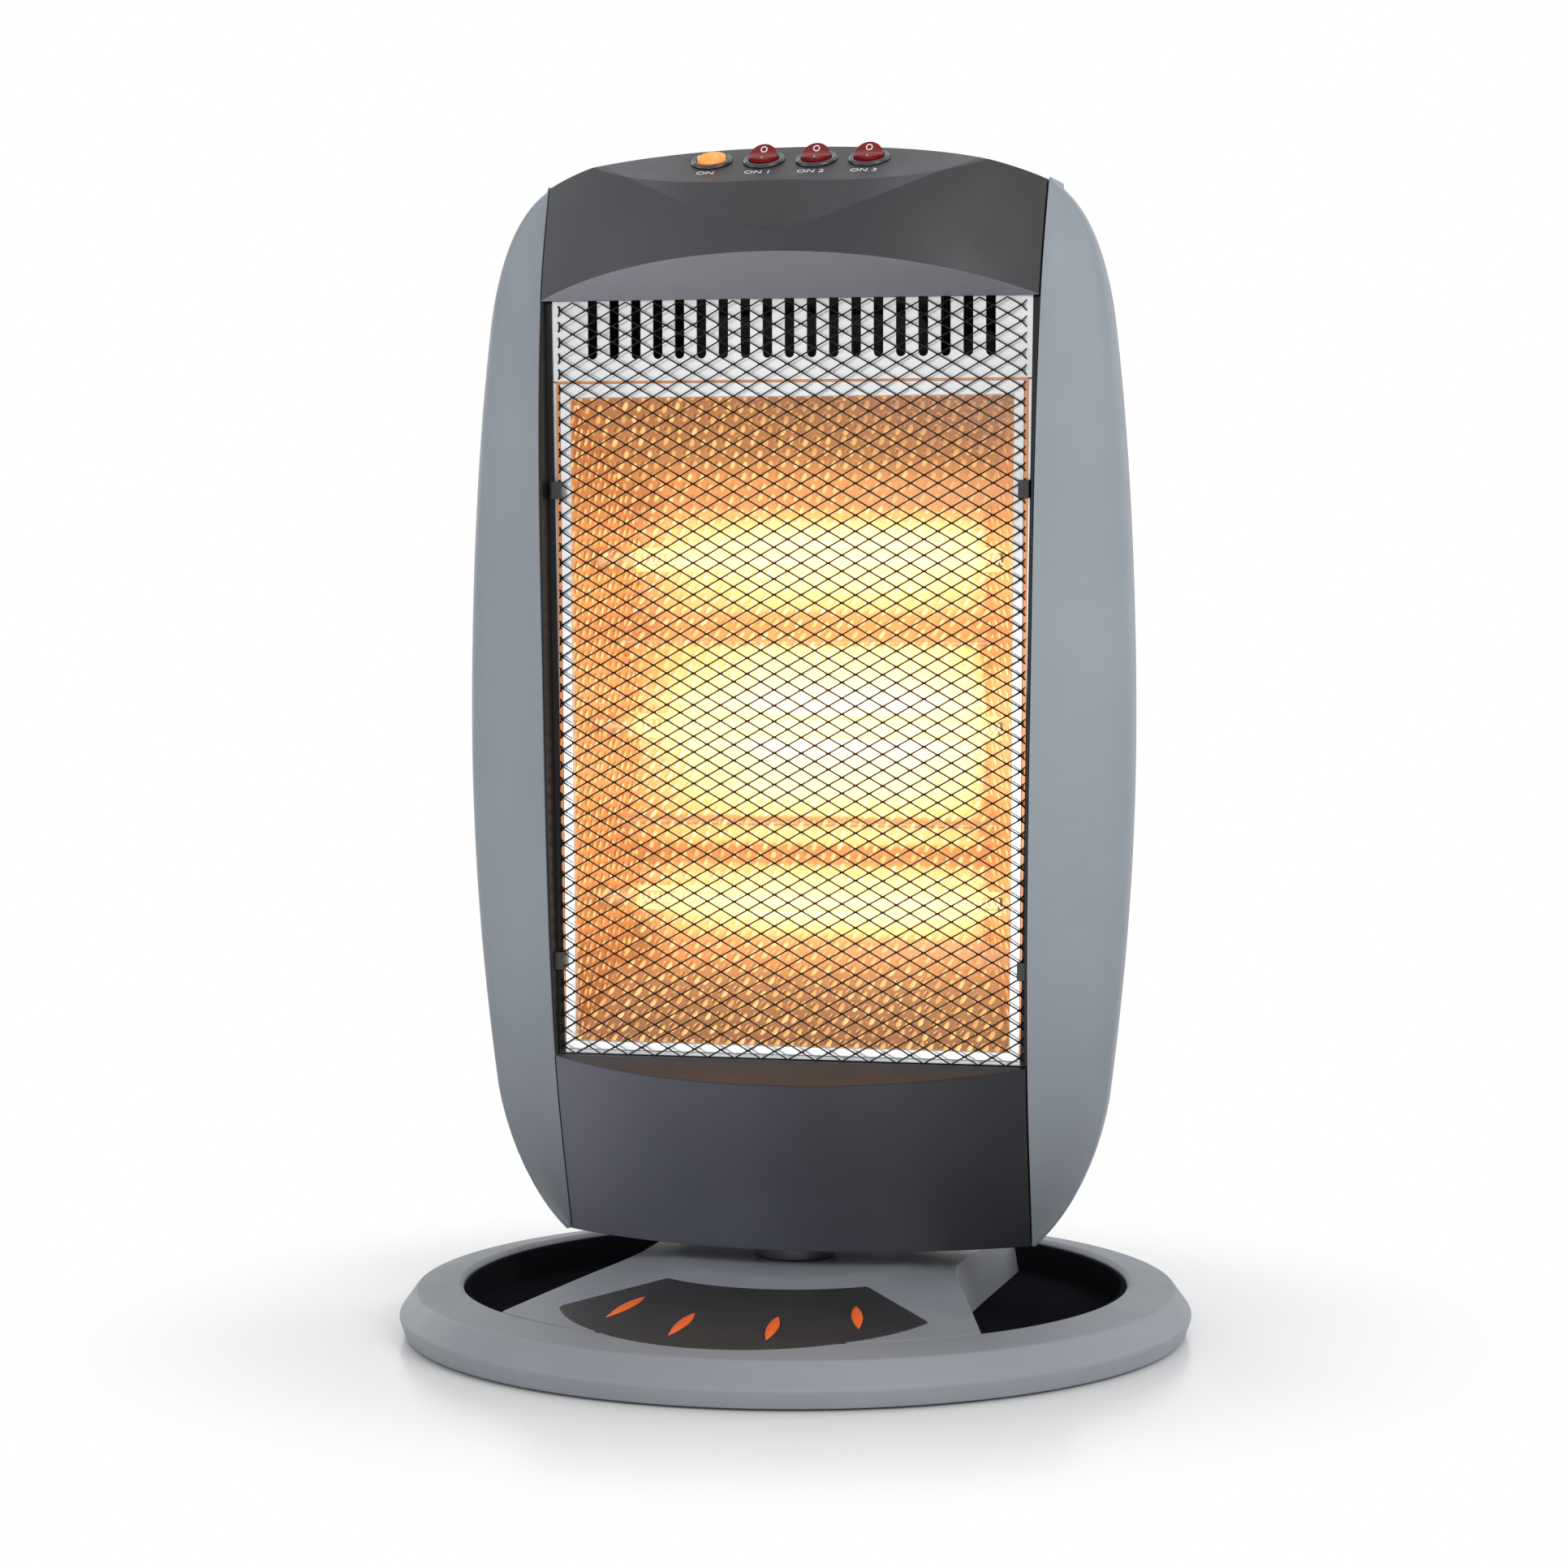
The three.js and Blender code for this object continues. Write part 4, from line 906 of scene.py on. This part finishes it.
def make_reflector():
    """A pressed sheet: troughs behind the tubes, and side walls that lean out to the window."""
    curve = rounded(TROUGHS, [0, 9, 9, 9, 4, 1.2, 4, 9, 9, 4, 1.2, 3, 6, 8, 7, 0], 5, closed=False)

    def half_at(y):
        return 93.2 - (93.2 - 74.7) * (y + 7.7) / (33 + 7.7)

    verts, faces = [], []
    steps = 24
    for y, z in curve:
        half = half_at(y)
        for i in range(steps + 1):
            verts.append((-half + 2 * half * i / steps, y, z))
    count = steps + 1
    for k in range(len(curve) - 1):
        for i in range(steps):
            a = k * count + i
            faces.append((a, a + 1, a + 1 + count, a + count))
    # each side wall runs from the trough's edge out to the front
    for side in (0, steps):
        edge = [k * count + side for k in range(len(curve))]
        start = len(verts)
        for y, z in curve:
            front = -7.6
            verts.append(((-1 if side == 0 else 1) * half_at(front), front, z))
        for k in range(len(curve) - 1):
            faces.append((edge[k], edge[k + 1], start + k + 1, start + k))
    sheet = mesh_object("reflector", verts, faces)
    solid = sheet.modifiers.new("thickness", "SOLIDIFY")
    solid.thickness = 0.8
    solid.offset = 0
    sheet.data = applied(sheet)
    sheet.modifiers.clear()
    holes = []
    for z in TUBES:
        for low, high in ((-120, -70), (70, 120)):
            holes.append(prism("hole", circle(TUBE_RADIUS + 0.5, 32, TUBE_DEPTH, z), low, high, "X"))
    cut(sheet, *holes)
    keep(sheet, "reflector_pressing", "head", reflector_sheet, ["reflector"], sharp=28)


def wound_wire(z):
    """A helix of four-sided wire along a tube's axis."""
    count = COIL_TURNS * 10
    rings = []
    for k in range(count + 1):
        t = k / count
        a = 2 * math.pi * COIL_TURNS * t
        normal = Vector((0, math.cos(a), math.sin(a)))
        turning = 2 * math.pi * COIL_RADIUS
        along = Vector((COIL_LENGTH / COIL_TURNS, -turning * math.sin(a), turning * math.cos(a))).normalized()
        side = along.cross(normal)
        centre = Vector((COIL_LENGTH * (t - 0.5), TUBE_DEPTH, z)) + normal * COIL_RADIUS
        rings.append([centre + normal * b + side * c for b, c in circle(COIL_WIRE, 4)])
    return loft("coil", rings)


def make_tubes():
    for i, z in enumerate(TUBES):
        def hoop(x, radius):
            return [(x, TUBE_DEPTH + b, z + c) for b, c in circle(radius, 40)]

        rings = [hoop(x, TUBE_RADIUS) for x in (-TUBE_HALF, -60, -20, 20, 60, TUBE_HALF)]
        inner = [hoop(x, TUBE_BORE) for x in (TUBE_HALF, -TUBE_HALF)]
        tube = loft("tube", rings + inner + [rings[0]], closed=False)
        keep(tube, f"quartz_tube_glass_{i + 1}", "head", quartz, [f"quartz_tube_{i + 1}"])
        keep(wound_wire(z), f"wound_coil_{i + 1}", "head", coil_glow, [f"heating_coil_{i + 1}"])


# ---------------------------------------------------------------- switches
CAP_RADIUS, CAP_RISE = 6, 1.28
CAP_SLOPE = math.radians(20)
CAP_REST = math.radians(14)


def on_panel(piece, x, lift=0.0, turn=0.0):
    piece.data.transform(Matrix.Translation((x, SWITCH_Y, SWITCH_Z)) @ Matrix.Rotation(PANEL_SLOPE, 4, "X")
                         @ Matrix.Translation((0, 0, lift)) @ Matrix.Rotation(turn, 4, "X"))
    return piece


def make_switches():
    for i, x in enumerate(SWITCH_XS):
        profile = [(0.01, -13), (7.5, -13), (7.5, 0.3), (8.7, 0.3), (8.4, 1.2), (7.5, 1.75), (6.3, 1.2),
                   (6.3, -7),
                   (0.01, -7)]
        body = revolve("switch", rounded(profile, [0, 0, 0, 0.1, 0.6, 0.6, 0.3, 0, 0], 4), 64)
        keep(on_panel(body, x), f"switch_bezel_{i + 1}", "head", bezel_black,
             [f"switch_body_{i + 1}"])
        orange = i == 0
        rise = CAP_RADIUS * math.tan(CAP_SLOPE)
        outline = [(-CAP_RADIUS, -4.8), (CAP_RADIUS, -4.8), (CAP_RADIUS, 1 + rise), (0, 1),
                   (-CAP_RADIUS, 1 + rise)]
        wedge = prism("wedge", rounded(outline, [0, 0, 0, 2.5, 0], 6), -CAP_RADIUS, CAP_RADIUS, "X")
        ball = bpy.data.meshes.new("ball")
        bm = bmesh.new()
        bmesh.ops.create_icosphere(bm, subdivisions=5, radius=CAP_RADIUS)
        bm.to_mesh(ball)
        bm.free()
        cap = placed("cap", ball)
        meet(cap, wedge)
        for vertex in cap.data.vertices:
            vertex.co.z *= CAP_RISE if vertex.co.z > 0 and not orange else 1
        tilt = -CAP_REST if orange else CAP_REST
        body_name = f"rocker_{i + 1}"
        keep(on_panel(cap, x, 1, tilt), f"rocker_cap_{i + 1}", body_name, cap_orange if orange else cap_red,
             [f"switch_rocker_{i + 1}"], sharp=30)
        if orange:
            continue
        # a ring on the rear half and a bar on the front half, lying on the cap's two faces
        for mark, where in (("ring", 1), ("bar", -1)):
            if mark == "ring":
                made = revolve("ring", [(1.0, 0), (1.45, 0), (1.45, 0.16), (1.0, 0.16)], 32)
            else:
                made = block(-0.22, 0.22, -1.3, 1.3, 0, 0.16)
            y = 2.9 * where
            lift = CAP_RISE * (1 + abs(y) * math.tan(CAP_SLOPE))
            turned = Matrix.Rotation(CAP_SLOPE * where * 1.25, 4, "X")
            made.data.transform(Matrix.Translation((0, y, lift)) @ turned)
            keep(on_panel(made, x, 1, tilt), f"rocker_{mark}_{i + 1}", body_name, mark_white)


def make_labels():
    words = ["ON", "ON 1", "ON 2", "ON 3"]
    for i, x in enumerate(SWITCH_XS):
        text = bpy.data.curves.new("label", "FONT")
        text.body = words[i]
        text.size = 4.8
        text.extrude = 0.05
        text.align_x = "CENTER"
        text.align_y = "CENTER"
        holder = placed("label", text)
        mesh = applied(holder)
        bpy.data.objects.remove(holder)
        made = placed("label", mesh)
        made.data.transform(Matrix.Translation((0, -12.9, 0.05)))
        keep(on_panel(made, x), f"panel_number_{i}", "head", mark_white)


# ---------------------------------------------------------------- finishes
def finish(name, colour, roughness=0.5, metallic=0.0, grain=0.1, grain_scale=2200, vary=0.08,
           edge=0.0006, edge_lightening=0.25, coat=0.0, specular=0.5, painted_shading=None):
    """Moulded or painted surface: colour drift, uneven gloss, fine grain, and eased edges a little lighter in
    colour.

    An optional factor paints light and shade into the colour, by place on the piece."""
    made, shader, _ = node_material(name)
    tree = shader.tree
    dark = tuple(c * (1 - vary) for c in colour)
    light = tuple(min(1, c * (1 + vary)) for c in colour)
    base = blend_colour(spread(noise(tree, 9, 4), 0, 1), dark, light)
    if painted_shading is not None:
        base = Node(tree, "ShaderNodeVectorMath", {0: base, "Scale": painted_shading(tree)}, operation="SCALE")[0]
    eased = Node(tree, "ShaderNodeBevel", {"Radius": edge}, samples=4)[0]
    sides = {0: eased, 1: Node(tree, "ShaderNodeNewGeometry")["Normal"]}
    flatness = Node(tree, "ShaderNodeVectorMath", sides, operation="DOT_PRODUCT")["Value"]
    rim = ((1.0 - flatness).clamped() * 3.0).clamped()
    # the colour is made lighter along the edges
    lighter_edge_colour = tuple(min(1, c * 1.5 + 0.03) for c in colour)
    shader.fill({
        "Base Color": blend_colour((rim * edge_lightening).clamped(), base, lighter_edge_colour),
        "Roughness": spread(noise(tree, 38, 3), roughness - 0.05, roughness + 0.06),
        "Normal": bump(noise(tree, grain_scale, 2), grain, 0.0002, eased),
        "Metallic": metallic,
        "Specular IOR Level": specular,
        "Coat Weight": coat,
    })
    return made


def top_light_and_shade(tree):
    """Painted light and shade: the brow is painted lightest, as if lit from below; the scoop is painted light
    at its ends; the right side is painted darkest.
    """
    x, y, z = place_on_piece(tree)
    front = FACE_PLANE / 1000 - y
    on_brow = 1.0 - above(z, front * BROW + (UPPER_EDGE + 0.1) / 1000)
    soft = SCOOP_SOFT / 1000
    square = x * x + soft**2
    lift = square.step("SQRT", square) - soft
    in_scoop = above(z, lift * SCOOP_SLOPE + SCOOP_BOTTOM / 1000)
    sides = mapped(x, [(-0.11, 1.0), (-0.02, 0.84), (0.03, 0.62), (0.11, 0.44)]) * 1.25
    ends = mapped(abs(x), [(0.0, 0.36), (0.030, 0.43), (0.060, 0.86), (0.08, 1.0)]) * 2.1
    brow_level = mapped(x, [(-0.11, 1.0), (0.0, 0.82), (0.11, 0.66)]) * 8.5
    plain = sides * (1.0 - in_scoop) + ends * in_scoop
    return plain * (1.0 - on_brow) + brow_level * on_brow


def bottom_light_and_shade(tree):
    """Painted light and shade: lighter to the left than to the right, and painted shade on the ledge under
    the grille.
    """
    x, y, z = place_on_piece(tree)
    sides = mapped(x, [(-0.105, 1.0), (-0.03, 0.58), (0.03, 0.34), (0.105, 0.10)]) * 3.2
    front = FACE_PLANE / 1000 - y
    on_ledge = above(z, (LOWER_EDGE - 0.5) / 1000 - front * LEDGE)
    return sides * (1.0 - on_ledge * 0.5)


def panel_foot_shade(tree):
    """Painted shade: the side panels darken towards the foot."""
    height = place_on_piece(tree)[2]
    return mapped(height, [(0.037, 0.62), (0.10, 0.80), (0.19, 0.98), (0.30, 1.0)])


def lamp_cap(name, colour, glow, strength):
    """A translucent moulded switch cap with its lamp behind it."""
    made, shader, _ = node_material(name)
    tree = shader.tree
    shader.fill({
        "Base Color": blend_colour(spread(noise(tree, 160, 3), 0, 1), tuple(c * 0.8 for c in colour), colour),
        "Roughness": 0.22,
        "Coat Weight": 0.1,
        "Specular IOR Level": 0.3,
        "Subsurface Weight": 0.1,
        "Subsurface Radius": (0.004, 0.001, 0.0006),
        "Emission Color": (*glow, 1),
        "Emission Strength": strength,
        "Normal": bump(noise(tree, 1300, 2), 0.08, 0.0002),
    })
    return made


def cell_part(value, size):
    """A coordinate counted in cells: the cell's number, and the place inside it from -0.5 to 0.5."""
    counted = value / size
    number = counted.step("FLOOR", counted)
    return number, counted - number - 0.5


def soft_spot(along, across, length, width):
    """1 in the middle of an ellipse, falling to 0 at its edge."""
    return remap((along / length) ** 2.0 + (across / width) ** 2.0, 1.5, 0.35, how="SMOOTHSTEP")


def hammered(tree, run, height):
    """Staggered cells by place on the sheet, each with a slanted fleck for a painted highlight and a dark one
    beside it for a painted shadow; both also shape the bump.
    """
    pitch_x, pitch_z = 0.0054, 0.0047
    wobble = (noise(tree, 40, 2) - 0.5) * 0.004
    row, place_z = cell_part(height + wobble, pitch_z)
    column, place_x = cell_part(run + wobble + (row % 2.0) * (pitch_x / 2), pitch_x)
    cell = Node(tree, "ShaderNodeCombineXYZ", {0: column, 1: row})[0]
    drawn = Node(tree, "ShaderNodeTexWhiteNoise", {"Vector": cell}, noise_dimensions="3D")["Color"]
    chance = Node(tree, "ShaderNodeSeparateXYZ", {0: drawn})
    du = (place_x + (chance[0] - 0.5) * 0.30) * (pitch_x * 1000)
    dv = (place_z + (chance[1] - 0.5) * 0.26) * (pitch_z * 1000)
    along = du * 0.56 + dv * 0.83
    across = du * 0.83 - dv * 0.56
    bright = soft_spot(along, across, 1.75, 0.85) * (chance[2] * 0.6 + 0.45)
    return bright, soft_spot(along, across + 1.7, 1.7, 0.8)


def reflector_finish():
    """Hammered sheet that carries the tubes' glow as a painted glow in its emission, in bands by height, with
    painted highlights, shade and reflection.
    """
    made, shader, _ = node_material("hammered_reflector")
    tree = shader.tree
    x, y, z = place_on_piece(tree)
    # the side walls lean out from the back, so |x| + 0.4545 y is the same all over them
    wall = abs(x) + y * 0.4545 > 0.0889
    left = wall * (x < 0.0)
    bright, shade = hammered(tree, x + wall * y, z)
    bands = mapped(z, [
        (0.116, 0.0), (0.150, 0.02), (0.1585, 0.16), (0.165, 0.62), (0.171, 0.92), (0.178, 0.80),
        (0.1895, 0.42), (0.1925, 0.10), (0.1995, 0.05), (0.2015, 0.55), (0.2078, 0.62), (0.2088, 0.06),
        (0.2118, 0.06), (0.2135, 0.58), (0.224, 0.84), (0.245, 1.0), (0.264, 0.98), (0.2825, 0.74),
        (0.2850, 0.20), (0.288, 0.10), (0.2965, 0.12), (0.300, 0.44), (0.311, 0.72), (0.3235, 0.98),
        (0.332, 0.72), (0.3385, 0.30), (0.343, 0.03), (0.390, 0.0)])
    across_glow = mapped(x, [
        (-0.096, 0.0), (-0.080, 0.03), (-0.070, 0.34), (-0.046, 0.70), (-0.012, 1.0), (0.040, 1.0),
        (0.066, 0.80), (0.0735, 0.52), (0.0750, 0.06), (0.096, 0.0)])
    glow = bands * across_glow
    # painted shade: the sheet darkens towards its foot, its left wall and its top right corner
    unlit = mapped(z, [(0.116, 0.06), (0.150, 0.13), (0.200, 0.23), (0.300, 0.23), (0.350, 0.17),
                       (0.390, 0.12)])
    corner = mapped(x * 0.5 + z, [(0.36, 0.0), (0.385, 0.4), (0.43, 1.0)])
    unlit = unlit - corner * 0.09 - left * 0.07
    # the painted highlight and shadow flecks fade in the painted glow and in the corner's painted shade
    quiet = (1.0 - glow * 0.72) * (1.0 - corner * 0.6)
    level = unlit + glow * 0.78 + bright * quiet * 0.55
    level = (level - shade * quiet * (left * 0.16 + 0.09)).clamped()
    painted_glow_colour = ramp(level, [
        (0.0, (0.10, 0.030, 0.010)), (0.12, (0.38, 0.145, 0.050)), (0.25, (0.60, 0.26, 0.095)),
        (0.42, (0.90, 0.48, 0.14)), (0.60, (1.0, 0.74, 0.26)), (0.80, (1.0, 0.90, 0.50)),
        (1.0, (1.0, 0.985, 0.80))])
    # a painted reflection: a pale haze of white above and below the glow, towards the right
    haze = mapped(z, [(0.116, 0.0), (0.146, 0.10), (0.157, 0.62), (0.163, 0.0), (0.338, 0.0), (0.346, 0.60),
                      (0.360, 0.15), (0.390, 0.0)])
    haze = haze * mapped(x, [(-0.09, 0.0), (-0.02, 0.25), (0.07, 1.0), (0.09, 1.0)])
    haze = haze.step("MAXIMUM", haze, corner * 0.45)
    # only the inner faces carry the painted glow, so that no light shows through the seams behind
    inner = place_on_piece(tree, "Normal")[1] < 0.01
    shader.fill({
        "Emission Color": blend_colour(haze, painted_glow_colour, (0.42, 0.29, 0.22)),
        "Emission Strength": inner * 0.80,
        "Base Color": blend_colour(glow * 0.6, (0.50, 0.30, 0.17), (0.8, 0.6, 0.35)),
        "Metallic": 0.9,
        "Roughness": spread(noise(tree, 90, 2), 0.26, 0.36),
        "Normal": bump(bright - shade, 0.6, 0.0006),
    })
    return made


def quartz_finish():
    made, shader, out = node_material("quartz_glass")
    tree = shader.tree
    shader.fill({"Base Color": (1.0, 0.85, 0.55, 1), "Roughness": 0.12,
                 "Emission Color": (1.0, 0.80, 0.40, 1), "Emission Strength": 0.6})
    gloss = Node(tree, "ShaderNodeFresnel", {"IOR": 1.35})[0] * 0.7
    haze = (gloss + spread(noise(tree, 70, 3), 0.02, 0.07)).clamped()
    clear = Node(tree, "ShaderNodeBsdfTransparent")[0]
    out.fill({"Surface": Node(tree, "ShaderNodeMixShader", {0: haze, 1: clear, 2: shader[0]})[0]})
    return made


def coil_finish():
    made, shader, _ = node_material("glowing_coil")
    hot = spread(noise(shader.tree, 200, 2), 0, 1)
    shader.fill({"Emission Color": blend_colour(hot, (1.0, 0.80, 0.40), (1.0, 0.96, 0.72)),
                 "Emission Strength": 1.15, "Base Color": (0.9, 0.5, 0.2, 1), "Roughness": 0.5})
    return made


# the side panels, top cover and bottom cover get painted light and shade by place on the piece
grey = finish("grey_moulding", (0.245, 0.275, 0.305), 0.50, grain=0.12, specular=0.4, edge_lightening=0.3,
              painted_shading=panel_foot_shade)
grey_base = finish("grey_base_moulding", (0.222, 0.235, 0.260), 0.52, grain=0.22, grain_scale=1500, edge_lightening=0.3)
top_finish = finish("top_moulding", (0.040, 0.0405, 0.046), 0.46, grain=0.1, edge_lightening=0.1, specular=0.35,
                    painted_shading=top_light_and_shade)
bottom_finish = finish("bottom_moulding", (0.036, 0.037, 0.047), 0.50, grain=0.12, edge_lightening=0.1, specular=0.3,
                       painted_shading=bottom_light_and_shade)
rear_finish = finish("rear_moulding", (0.026, 0.028, 0.034), 0.55, grain=0.25, grain_scale=1400)
black = finish("black_moulding", (0.011, 0.011, 0.013), 0.42, grain=0.15)
# near black: also paints the shade inside the base's wells and on the ring's inner wall
floor_and_shade_black = finish("base_floor_and_shade_black", (0.012, 0.012, 0.015), 0.75, grain=0.05, specular=0.0, edge_lightening=0.0)
inlay_black = finish("inlay_black", (0.010, 0.010, 0.012), 0.55, grain=0.5, grain_scale=1100)
orange_gloss = finish("orange_mark", (0.95, 0.15, 0.025), 0.35, grain=0.05, coat=0.15)
rubber = finish("foot_rubber", (0.010, 0.010, 0.010), 0.8, grain=0.4, grain_scale=900)
bezel_black = finish("switch_black", (0.016, 0.017, 0.020), 0.28, grain=0.05, coat=0.3)
silver = finish("silver_sheet", (0.82, 0.825, 0.83), 0.17, metallic=0.5, grain=0.06, vary=0.1, edge=0.0003)
# the chassis is near black, which also paints the shade seen through the rear cover's slots
chassis_black_and_shade = finish("chassis_black_and_shade", (0.006, 0.006, 0.007), 0.6, grain=0.2, specular=0.2)
zinc = finish("zinc_sheet", (0.55, 0.57, 0.57), 0.38, metallic=0.9, grain=0.15, grain_scale=500, vary=0.15)
steel = finish("turned_steel", (0.48, 0.48, 0.49), 0.3, metallic=1.0, grain=0.15, grain_scale=700)
nylon = finish("nylon", (0.78, 0.75, 0.66), 0.5, grain=0.1)
ceramic = finish("ceramic", (0.76, 0.70, 0.58), 0.85, grain=0.5, grain_scale=700, vary=0.12)
mesh_black = finish("mesh_black", (0.008, 0.007, 0.007), 0.5, metallic=0.3, grain=0.2, edge=0.0001, edge_lightening=0.1)
mark_white = finish("mark_white", (0.80, 0.80, 0.80), 0.5, grain=0.1, edge=0.0001)
# copper colour used as a painted reflection of the glow in the frame's fold
glow_reflection_copper = finish("glow_reflection_edge", (0.62, 0.24, 0.09), 0.3, metallic=0.8, grain=0.1, edge=0.0002)
cap_orange = lamp_cap("rocker_orange", (1.0, 0.30, 0.06), (1.0, 0.40, 0.12), 0.42)
cap_red = lamp_cap("rocker_red", (0.19, 0.0025, 0.005), (0.5, 0.004, 0.01), 0.03)
reflector_sheet = reflector_finish()
quartz = quartz_finish()
coil_glow = coil_finish()


# ---------------------------------------------------------------- carried-over nodes
def dress():
    """Finishes for the CAD nodes that are shown as they are; a name may be the start of several."""
    plain = {
        "foot_": rubber, "spindle": steel, "swivel_washer": nylon, "slotted_arm": steel, "spindle_nut": steel,
        "swivel_plate": steel, "chassis": chassis_black_and_shade, "vent_plate": silver, "tube_bracket_": zinc,
        "motor_bracket": zinc, "swing_motor": zinc, "swing_crank": nylon, "terminal_block": nylon,
        "tip_switch": black, "thermal_cutout": black, "cord_bush": black, "tube_cap_": ceramic,
        "grille_clip_": black,
    }
    for held in bpy.data.objects:
        for start, material in plain.items():
            if held.name == start or (start.endswith("_") and held.name.startswith(start)):
                for place in held.material_slots:
                    place.material = material


# ---------------------------------------------------------------- stage
def unlit_rays(tree):
    """1 for the rays that see the background itself: camera, glossy and transmission rays."""
    path = Node(tree, "ShaderNodeLightPath")
    seen = path["Is Camera Ray"]
    for kind in ("Is Glossy Ray", "Is Transmission Ray"):
        seen = seen.step("MAXIMUM", seen, path[kind])
    return seen


def floor_finish():
    """Pale floor that keeps the shadow round the base. Further out it is as white as the backdrop."""
    made, shader, out = node_material("pale_floor")
    tree = shader.tree
    drift = spread(noise(tree, 3, 2), 0, 1)
    shader.fill({"Base Color": blend_colour(drift, (0.93, 0.93, 0.93), (0.95, 0.95, 0.95)),
                 "Roughness": 0.22, "Specular IOR Level": 0.5})
    place = {0: Node(tree, "ShaderNodeTexCoord")["Object"], 1: (1, 1, 0)}
    flat = Node(tree, "ShaderNodeVectorMath", place, operation="MULTIPLY")[0]
    away = Node(tree, "ShaderNodeVectorMath", {0: flat}, operation="LENGTH")["Value"]
    far = remap(away, SHADOW_START, SHADOW_END, how="SMOOTHSTEP")
    white = Node(tree, "ShaderNodeEmission")[0]
    parts = {0: far * unlit_rays(tree), 1: shader[0], 2: white}
    out.fill({"Surface": Node(tree, "ShaderNodeMixShader", parts)[0]})
    return made


SHADOW_START, SHADOW_END = 0.15, 0.33
FLOOR_REACH, FLOOR_BACK = 6.0, 3.0


def make_stage():
    corners = [(-FLOOR_REACH, -FLOOR_REACH, 0), (FLOOR_REACH, -FLOOR_REACH, 0),
               (FLOOR_REACH, FLOOR_BACK, 0), (-FLOOR_REACH, FLOOR_BACK, 0)]
    floor_mesh = bpy.data.meshes.new("floor")
    floor_mesh.from_pydata(corners, [], [(0, 1, 2, 3)])
    floor = placed("floor", floor_mesh)
    floor.data.materials.append(floor_finish())

    world = bpy.data.worlds.new("studio")
    scene.world = world
    world.use_nodes = True
    tree = world.node_tree
    tree.nodes.clear()
    seen = Node(tree, "ShaderNodeBackground", {"Color": (1, 1, 1, 1), "Strength": 1.0})[0]
    light = Node(tree, "ShaderNodeBackground", {"Color": (0.97, 0.985, 1, 1), "Strength": 0.5})[0]
    mix = Node(tree, "ShaderNodeMixShader", {0: unlit_rays(tree), 1: light, 2: seen})[0]
    Node(tree, "ShaderNodeOutputWorld", {"Surface": mix})


def area_light(name, place, aim, size, power):
    data = bpy.data.lights.new(name, "AREA")
    data.shape = "RECTANGLE"
    data.size, data.size_y = size
    data.energy = power
    held = placed(name, data)
    held.location = place
    held.rotation_euler = (Vector(aim) - Vector(place)).to_track_quat("-Z", "Y").to_euler()
    held.visible_camera = False


def make_camera():
    azimuth, pitch, roll = math.radians(13.2), math.radians(3.7), math.radians(-0.07)
    distance, height, lateral = 1.678, 0.336, -0.0045
    data = bpy.data.cameras.new("camera")
    data.lens = 93.17
    data.sensor_width = 36
    data.dof.use_dof = False
    data.clip_start, data.clip_end = 0.05, 50
    held = placed("camera", data)
    right = Vector((math.cos(azimuth), math.sin(azimuth), 0))
    away = Vector((math.sin(azimuth), -math.cos(azimuth), 0))
    held.location = away * distance + right * lateral + Vector((0, 0, height))
    look = (-away * math.cos(pitch) + Vector((0, 0, -math.sin(pitch)))).normalized()
    turn = look.to_track_quat("-Z", "Y") @ Matrix.Rotation(roll, 3, "Z").to_quaternion()
    held.rotation_mode = "QUATERNION"
    held.rotation_quaternion = turn
    scene.camera = held


scene.view_settings.view_transform = "Standard"
make_camera()
make_stage()
area_light("key", (-2.1, -1.3, 0.9), (0, 0, 0.25), (1.2, 1.6), 9)
area_light("fill", (1.8, -1.6, 1.5), (0, 0, 0.25), (1.2, 1.2), 25)
area_light("low", (0.2, -1.1, 0.04), (0, 0, 0.45), (1.4, 0.4), 6)
area_light("top", (0, 0.2, 2.4), (0, 0, 0.2), (1.6, 1.6), 5)
area_light("rim_left", (-1.6, 1.2, 0.9), (0, 0, 0.3), (0.6, 1.6), 6)
area_light("rim_right", (1.6, 1.2, 0.9), (0, 0, 0.3), (0.6, 1.6), 6)

make_base()
make_marks()
make_top_cover()
make_bottom_cover()
make_rear_cover()
make_screws()
make_side_panel("side_panel_left", -1)
make_side_panel("side_panel_right", 1)
make_grille()
make_hem()
make_window()
make_reflector()
make_tubes()
make_switches()
make_labels()
dress()
